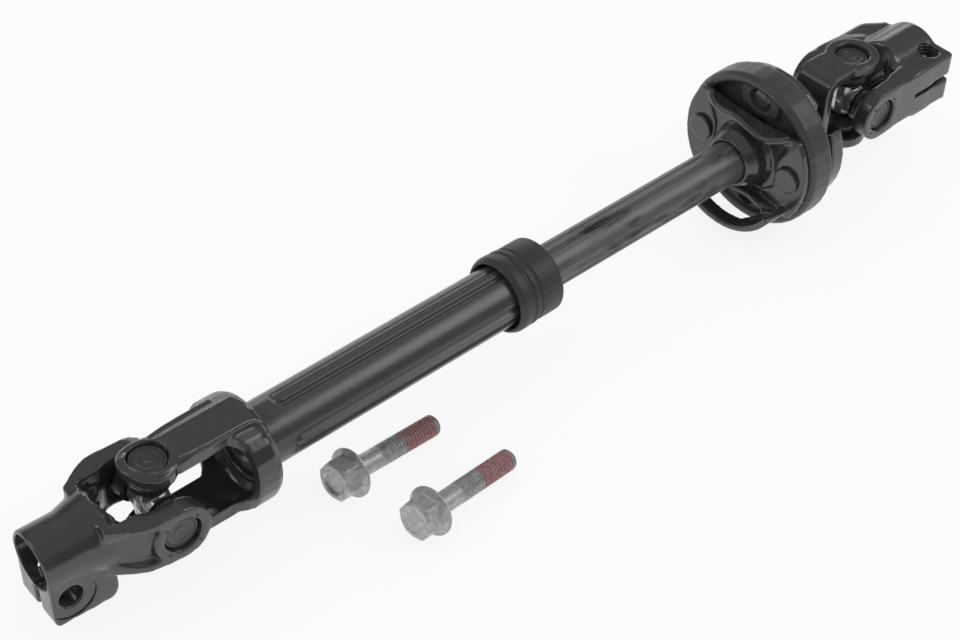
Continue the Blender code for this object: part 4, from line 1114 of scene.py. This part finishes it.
def tube_collar():
    """Moulded collar: bead at the mouth, two narrow grooves, a flat barrel and fine ribs inside the mouth."""
    start = -131.2
    profile = [
        (0.8, 12.3), (0.05, 13.0), (0.5, 13.7), (2.2, 14.45), (5.2, 14.45), (5.9, 13.8), (6.9, 13.8),
        (7.4, 14.35), (8.9, 14.35), (9.4, 13.6), (10.1, 13.6), (10.6, 14.1), (15.2, 14.14), (19.6, 14.1),
        (20.27, 13.5), (20.27, 8.55), (18.4, 8.55), (18.4, 11.7), (8.0, 11.7), (7.0, 12.3), (5.0, 12.3),
        (4.6, 12.0), (4.2, 12.3), (3.4, 12.3), (3.0, 12.0), (2.6, 12.3),
    ]
    profile = [((start + station) * MM, radius * MM) for station, radius in profile]
    closed = eased(profile + profile[:2], 0.28 * MM)[1:-1]
    dress(turned("tube_collar_moulded", SHAFT, closed, 128, hollow=True), "tube_collar")


def sliding_shaft():
    """Drawn shaft with a broad shallow panel under each flute, plain where the flange grips it."""
    r = Recipe(
        "sliding shaft", Start=INNER_START, End=-0.6 * MM, Radius=8.18 * MM,
        Panel_Depth=0.5 * MM, Panel_End=-22.5 * MM, Along=240, Around=257,
    )
    columns = r.add(r.size("Along"), 8.0)
    sheet, column, angle = r.wrapped_sheet(columns, r.size("Around"))
    outside = r.put("ShaderNodeClamp", r.math("DIVIDE", r.less(column, 4.0), r.size("Along")))
    station = r.add(r.size("Start"), r.times(r.less(r.size("End"), r.size("Start")), outside))
    quarter = r.less(r.math("MODULO", r.add(angle, 4.25 * pi), pi / 2), pi / 4)
    off = r.math("ABSOLUTE", quarter)
    panel = r.share(off, radians(17), radians(22), 1.0, 0.0, smooth=True)
    rail = r.share(off, 0.0, radians(5), 0.35, 0.0, smooth=True)
    easing = r.less(r.size("Panel_End"), 5.0 * MM)
    run_out = r.share(station, easing, r.size("Panel_End"), 1.0, 0.0, smooth=True)
    radius = r.less(r.size("Radius"), r.times(r.times(r.less(panel, rail), run_out), r.size("Panel_Depth")))
    ends = r.math("MINIMUM", column, r.less(columns, column))
    radius = r.times(radius, r.share(ends, 0.0, 3.0))
    bent = r.put("GeometryNodeSetPosition", sheet, None, r.around_x(station, radius, angle))
    r.finish(bent, FINISHES["shaft_steel"])
    dress(r.grow("sliding_shaft", SHAFT), "inner_shaft")


def stub_shaft():
    """Stub that the upper flange and yoke sit on, with its riveted end."""
    profile = [
        (12.3, 0), (12.3, 7.6), (12.9, 8.2), (32.2, 8.2), (32.2, 5.2), (37.2, 5.2), (37.2, 6.3), (38.4, 5.6),
        (38.4, 0),
    ]
    stub = turned("stub_shaft_turned", SHAFT, eased(in_metres(profile), 0.25 * MM), 72)
    dress(stub, "upper_stub_shaft")


cross_joint_parts()
needle_rollers()
pinch_bolts()
clamp_yokes()
tube_yoke()
strap_yoke()
flanges()
rivets()
tube_collar()
sliding_shaft()
stub_shaft()
dress(forged("coupling_ring", 0.0005, 8), "coupling_ring")

for node, cad in nodes.items():
    for slot in cad.material_slots:
        slot.material = FINISHES[SLOT_OF[node]]


# Floor, light and camera.
def floor_finish():
    finish = bpy.data.materials.new("pale floor")
    finish.use_nodes = True
    tree = finish.node_tree
    shader = tree.nodes["Principled BSDF"]
    shader.inputs["Roughness"].default_value = 0.9
    shader.inputs["Specular IOR Level"].default_value = 0.0
    place = new_tree_node(tree, "ShaderNodeTexCoord").outputs["Object"]
    cloud = noise(tree, place, 30.0, 4.0)
    feed(tree, blend_color(tree, cloud, (0.86, 0.86, 0.86), (0.9, 0.9, 0.9)), shader.inputs["Base Color"])
    rays = new_tree_node(tree, "ShaderNodeLightPath")
    seen = shader_math(tree, "MAXIMUM", rays.outputs["Is Camera Ray"], rays.outputs["Is Glossy Ray"])
    seen = shader_math(tree, "MAXIMUM", seen, rays.outputs["Is Transmission Ray"])
    glow = new_tree_node(tree, "ShaderNodeEmission")
    glow.inputs["Strength"].default_value = 1.0
    mixer = new_tree_node(tree, "ShaderNodeMixShader")
    feed(tree, shader_math(tree, "MULTIPLY", seen, 0.86), mixer.inputs["Fac"])
    feed(tree, shader.outputs["BSDF"], mixer.inputs[1])
    feed(tree, glow.outputs["Emission"], mixer.inputs[2])
    feed(tree, mixer.outputs["Shader"], tree.nodes["Material Output"].inputs["Surface"])
    return finish


def lay_floor():
    work = bmesh.new()
    bmesh.ops.create_grid(work, x_segments=2, y_segments=2, size=6.0)
    floor = new_piece("floor", work)
    floor.data.materials.append(floor_finish())


def softbox(name, place, aim, width, height, power):
    lamp = bpy.data.lights.new(name, "AREA")
    lamp.shape = "RECTANGLE"
    lamp.size = width
    lamp.size_y = height
    lamp.energy = power
    box = bpy.data.objects.new(name, lamp)
    box.location = place
    box.rotation_euler = (Vector(aim) - Vector(place)).to_track_quat("-Z", "Y").to_euler()
    bpy.context.scene.collection.objects.link(box)


def light_room():
    """A pale room: white paper that sweeps up behind the part, darker walls and a lighter ceiling."""
    world = bpy.data.worlds.new("studio")
    bpy.context.scene.world = world
    world.use_nodes = True
    tree = world.node_tree
    back = tree.nodes["Background"]
    way = new_tree_node(tree, "ShaderNodeTexCoord").outputs["Generated"]
    parts = new_tree_node(tree, "ShaderNodeSeparateXYZ")
    feed(tree, way, parts.inputs[0])
    behind = shader_math(tree, "ADD", parts.outputs["X"], parts.outputs["Y"])
    paper = ramp(tree, parts.outputs["Z"], 0.04, 0.32, 1.0, 0.0)
    paper = shader_math(tree, "MULTIPLY", paper, ramp(tree, behind, -0.3, 0.7))
    ceiling = ramp(tree, parts.outputs["Z"], 0.5, 0.7, 0.0, 0.22)
    room = shader_math(tree, "ADD", shader_math(tree, "MULTIPLY", paper, 0.65), ceiling)
    room = shader_math(tree, "ADD", room, 0.14)
    rays = new_tree_node(tree, "ShaderNodeLightPath")
    white = blend_color(tree, rays.outputs["Is Camera Ray"], room, (1.0, 1.0, 1.0))
    seen = shader_math(tree, "MAXIMUM", rays.outputs["Is Camera Ray"], rays.outputs["Is Glossy Ray"])
    seen = shader_math(tree, "MAXIMUM", seen, rays.outputs["Is Transmission Ray"])
    feed(tree, blend_color(tree, seen, (0.7, 0.7, 0.7), white), back.inputs["Color"])
    back.inputs["Strength"].default_value = 1.0
    softbox("right softbox", (0.66, -0.62, 0.86), (0.0, 0.0, 0.03), 0.75, 0.55, 3.2)
    softbox("left softbox", (-0.85, 0.35, 0.8), (-0.05, 0.0, 0.03), 0.6, 0.4, 1.6)
    softbox("back softbox", (0.75, 0.95, 0.42), (0.05, 0.0, 0.03), 1.0, 0.25, 1.6)


def set_camera():
    """The photograph's view, with its right, up and backward directions as the columns."""
    data = bpy.data.cameras.new("camera")
    data.lens = 82.5
    data.sensor_width = 36.0
    data.clip_start = 0.01
    camera = bpy.data.objects.new("camera", data)
    bpy.context.scene.collection.objects.link(camera)
    right = Vector((0.73711, -0.67489, 0.03447))
    down = Vector((-0.43346, -0.51133, -0.74206))
    ahead = Vector((0.51843, 0.53204, -0.66945))
    turn = Matrix((right, -down, -ahead)).transposed().to_4x4()
    place = Vector((-0.5338, -0.4064, 0.5049)) + SHIFT
    camera.matrix_world = Matrix.Translation(place) @ turn
    bpy.context.scene.camera = camera


lay_floor()
light_room()
set_camera()
bpy.context.scene.view_settings.view_transform = "Standard"
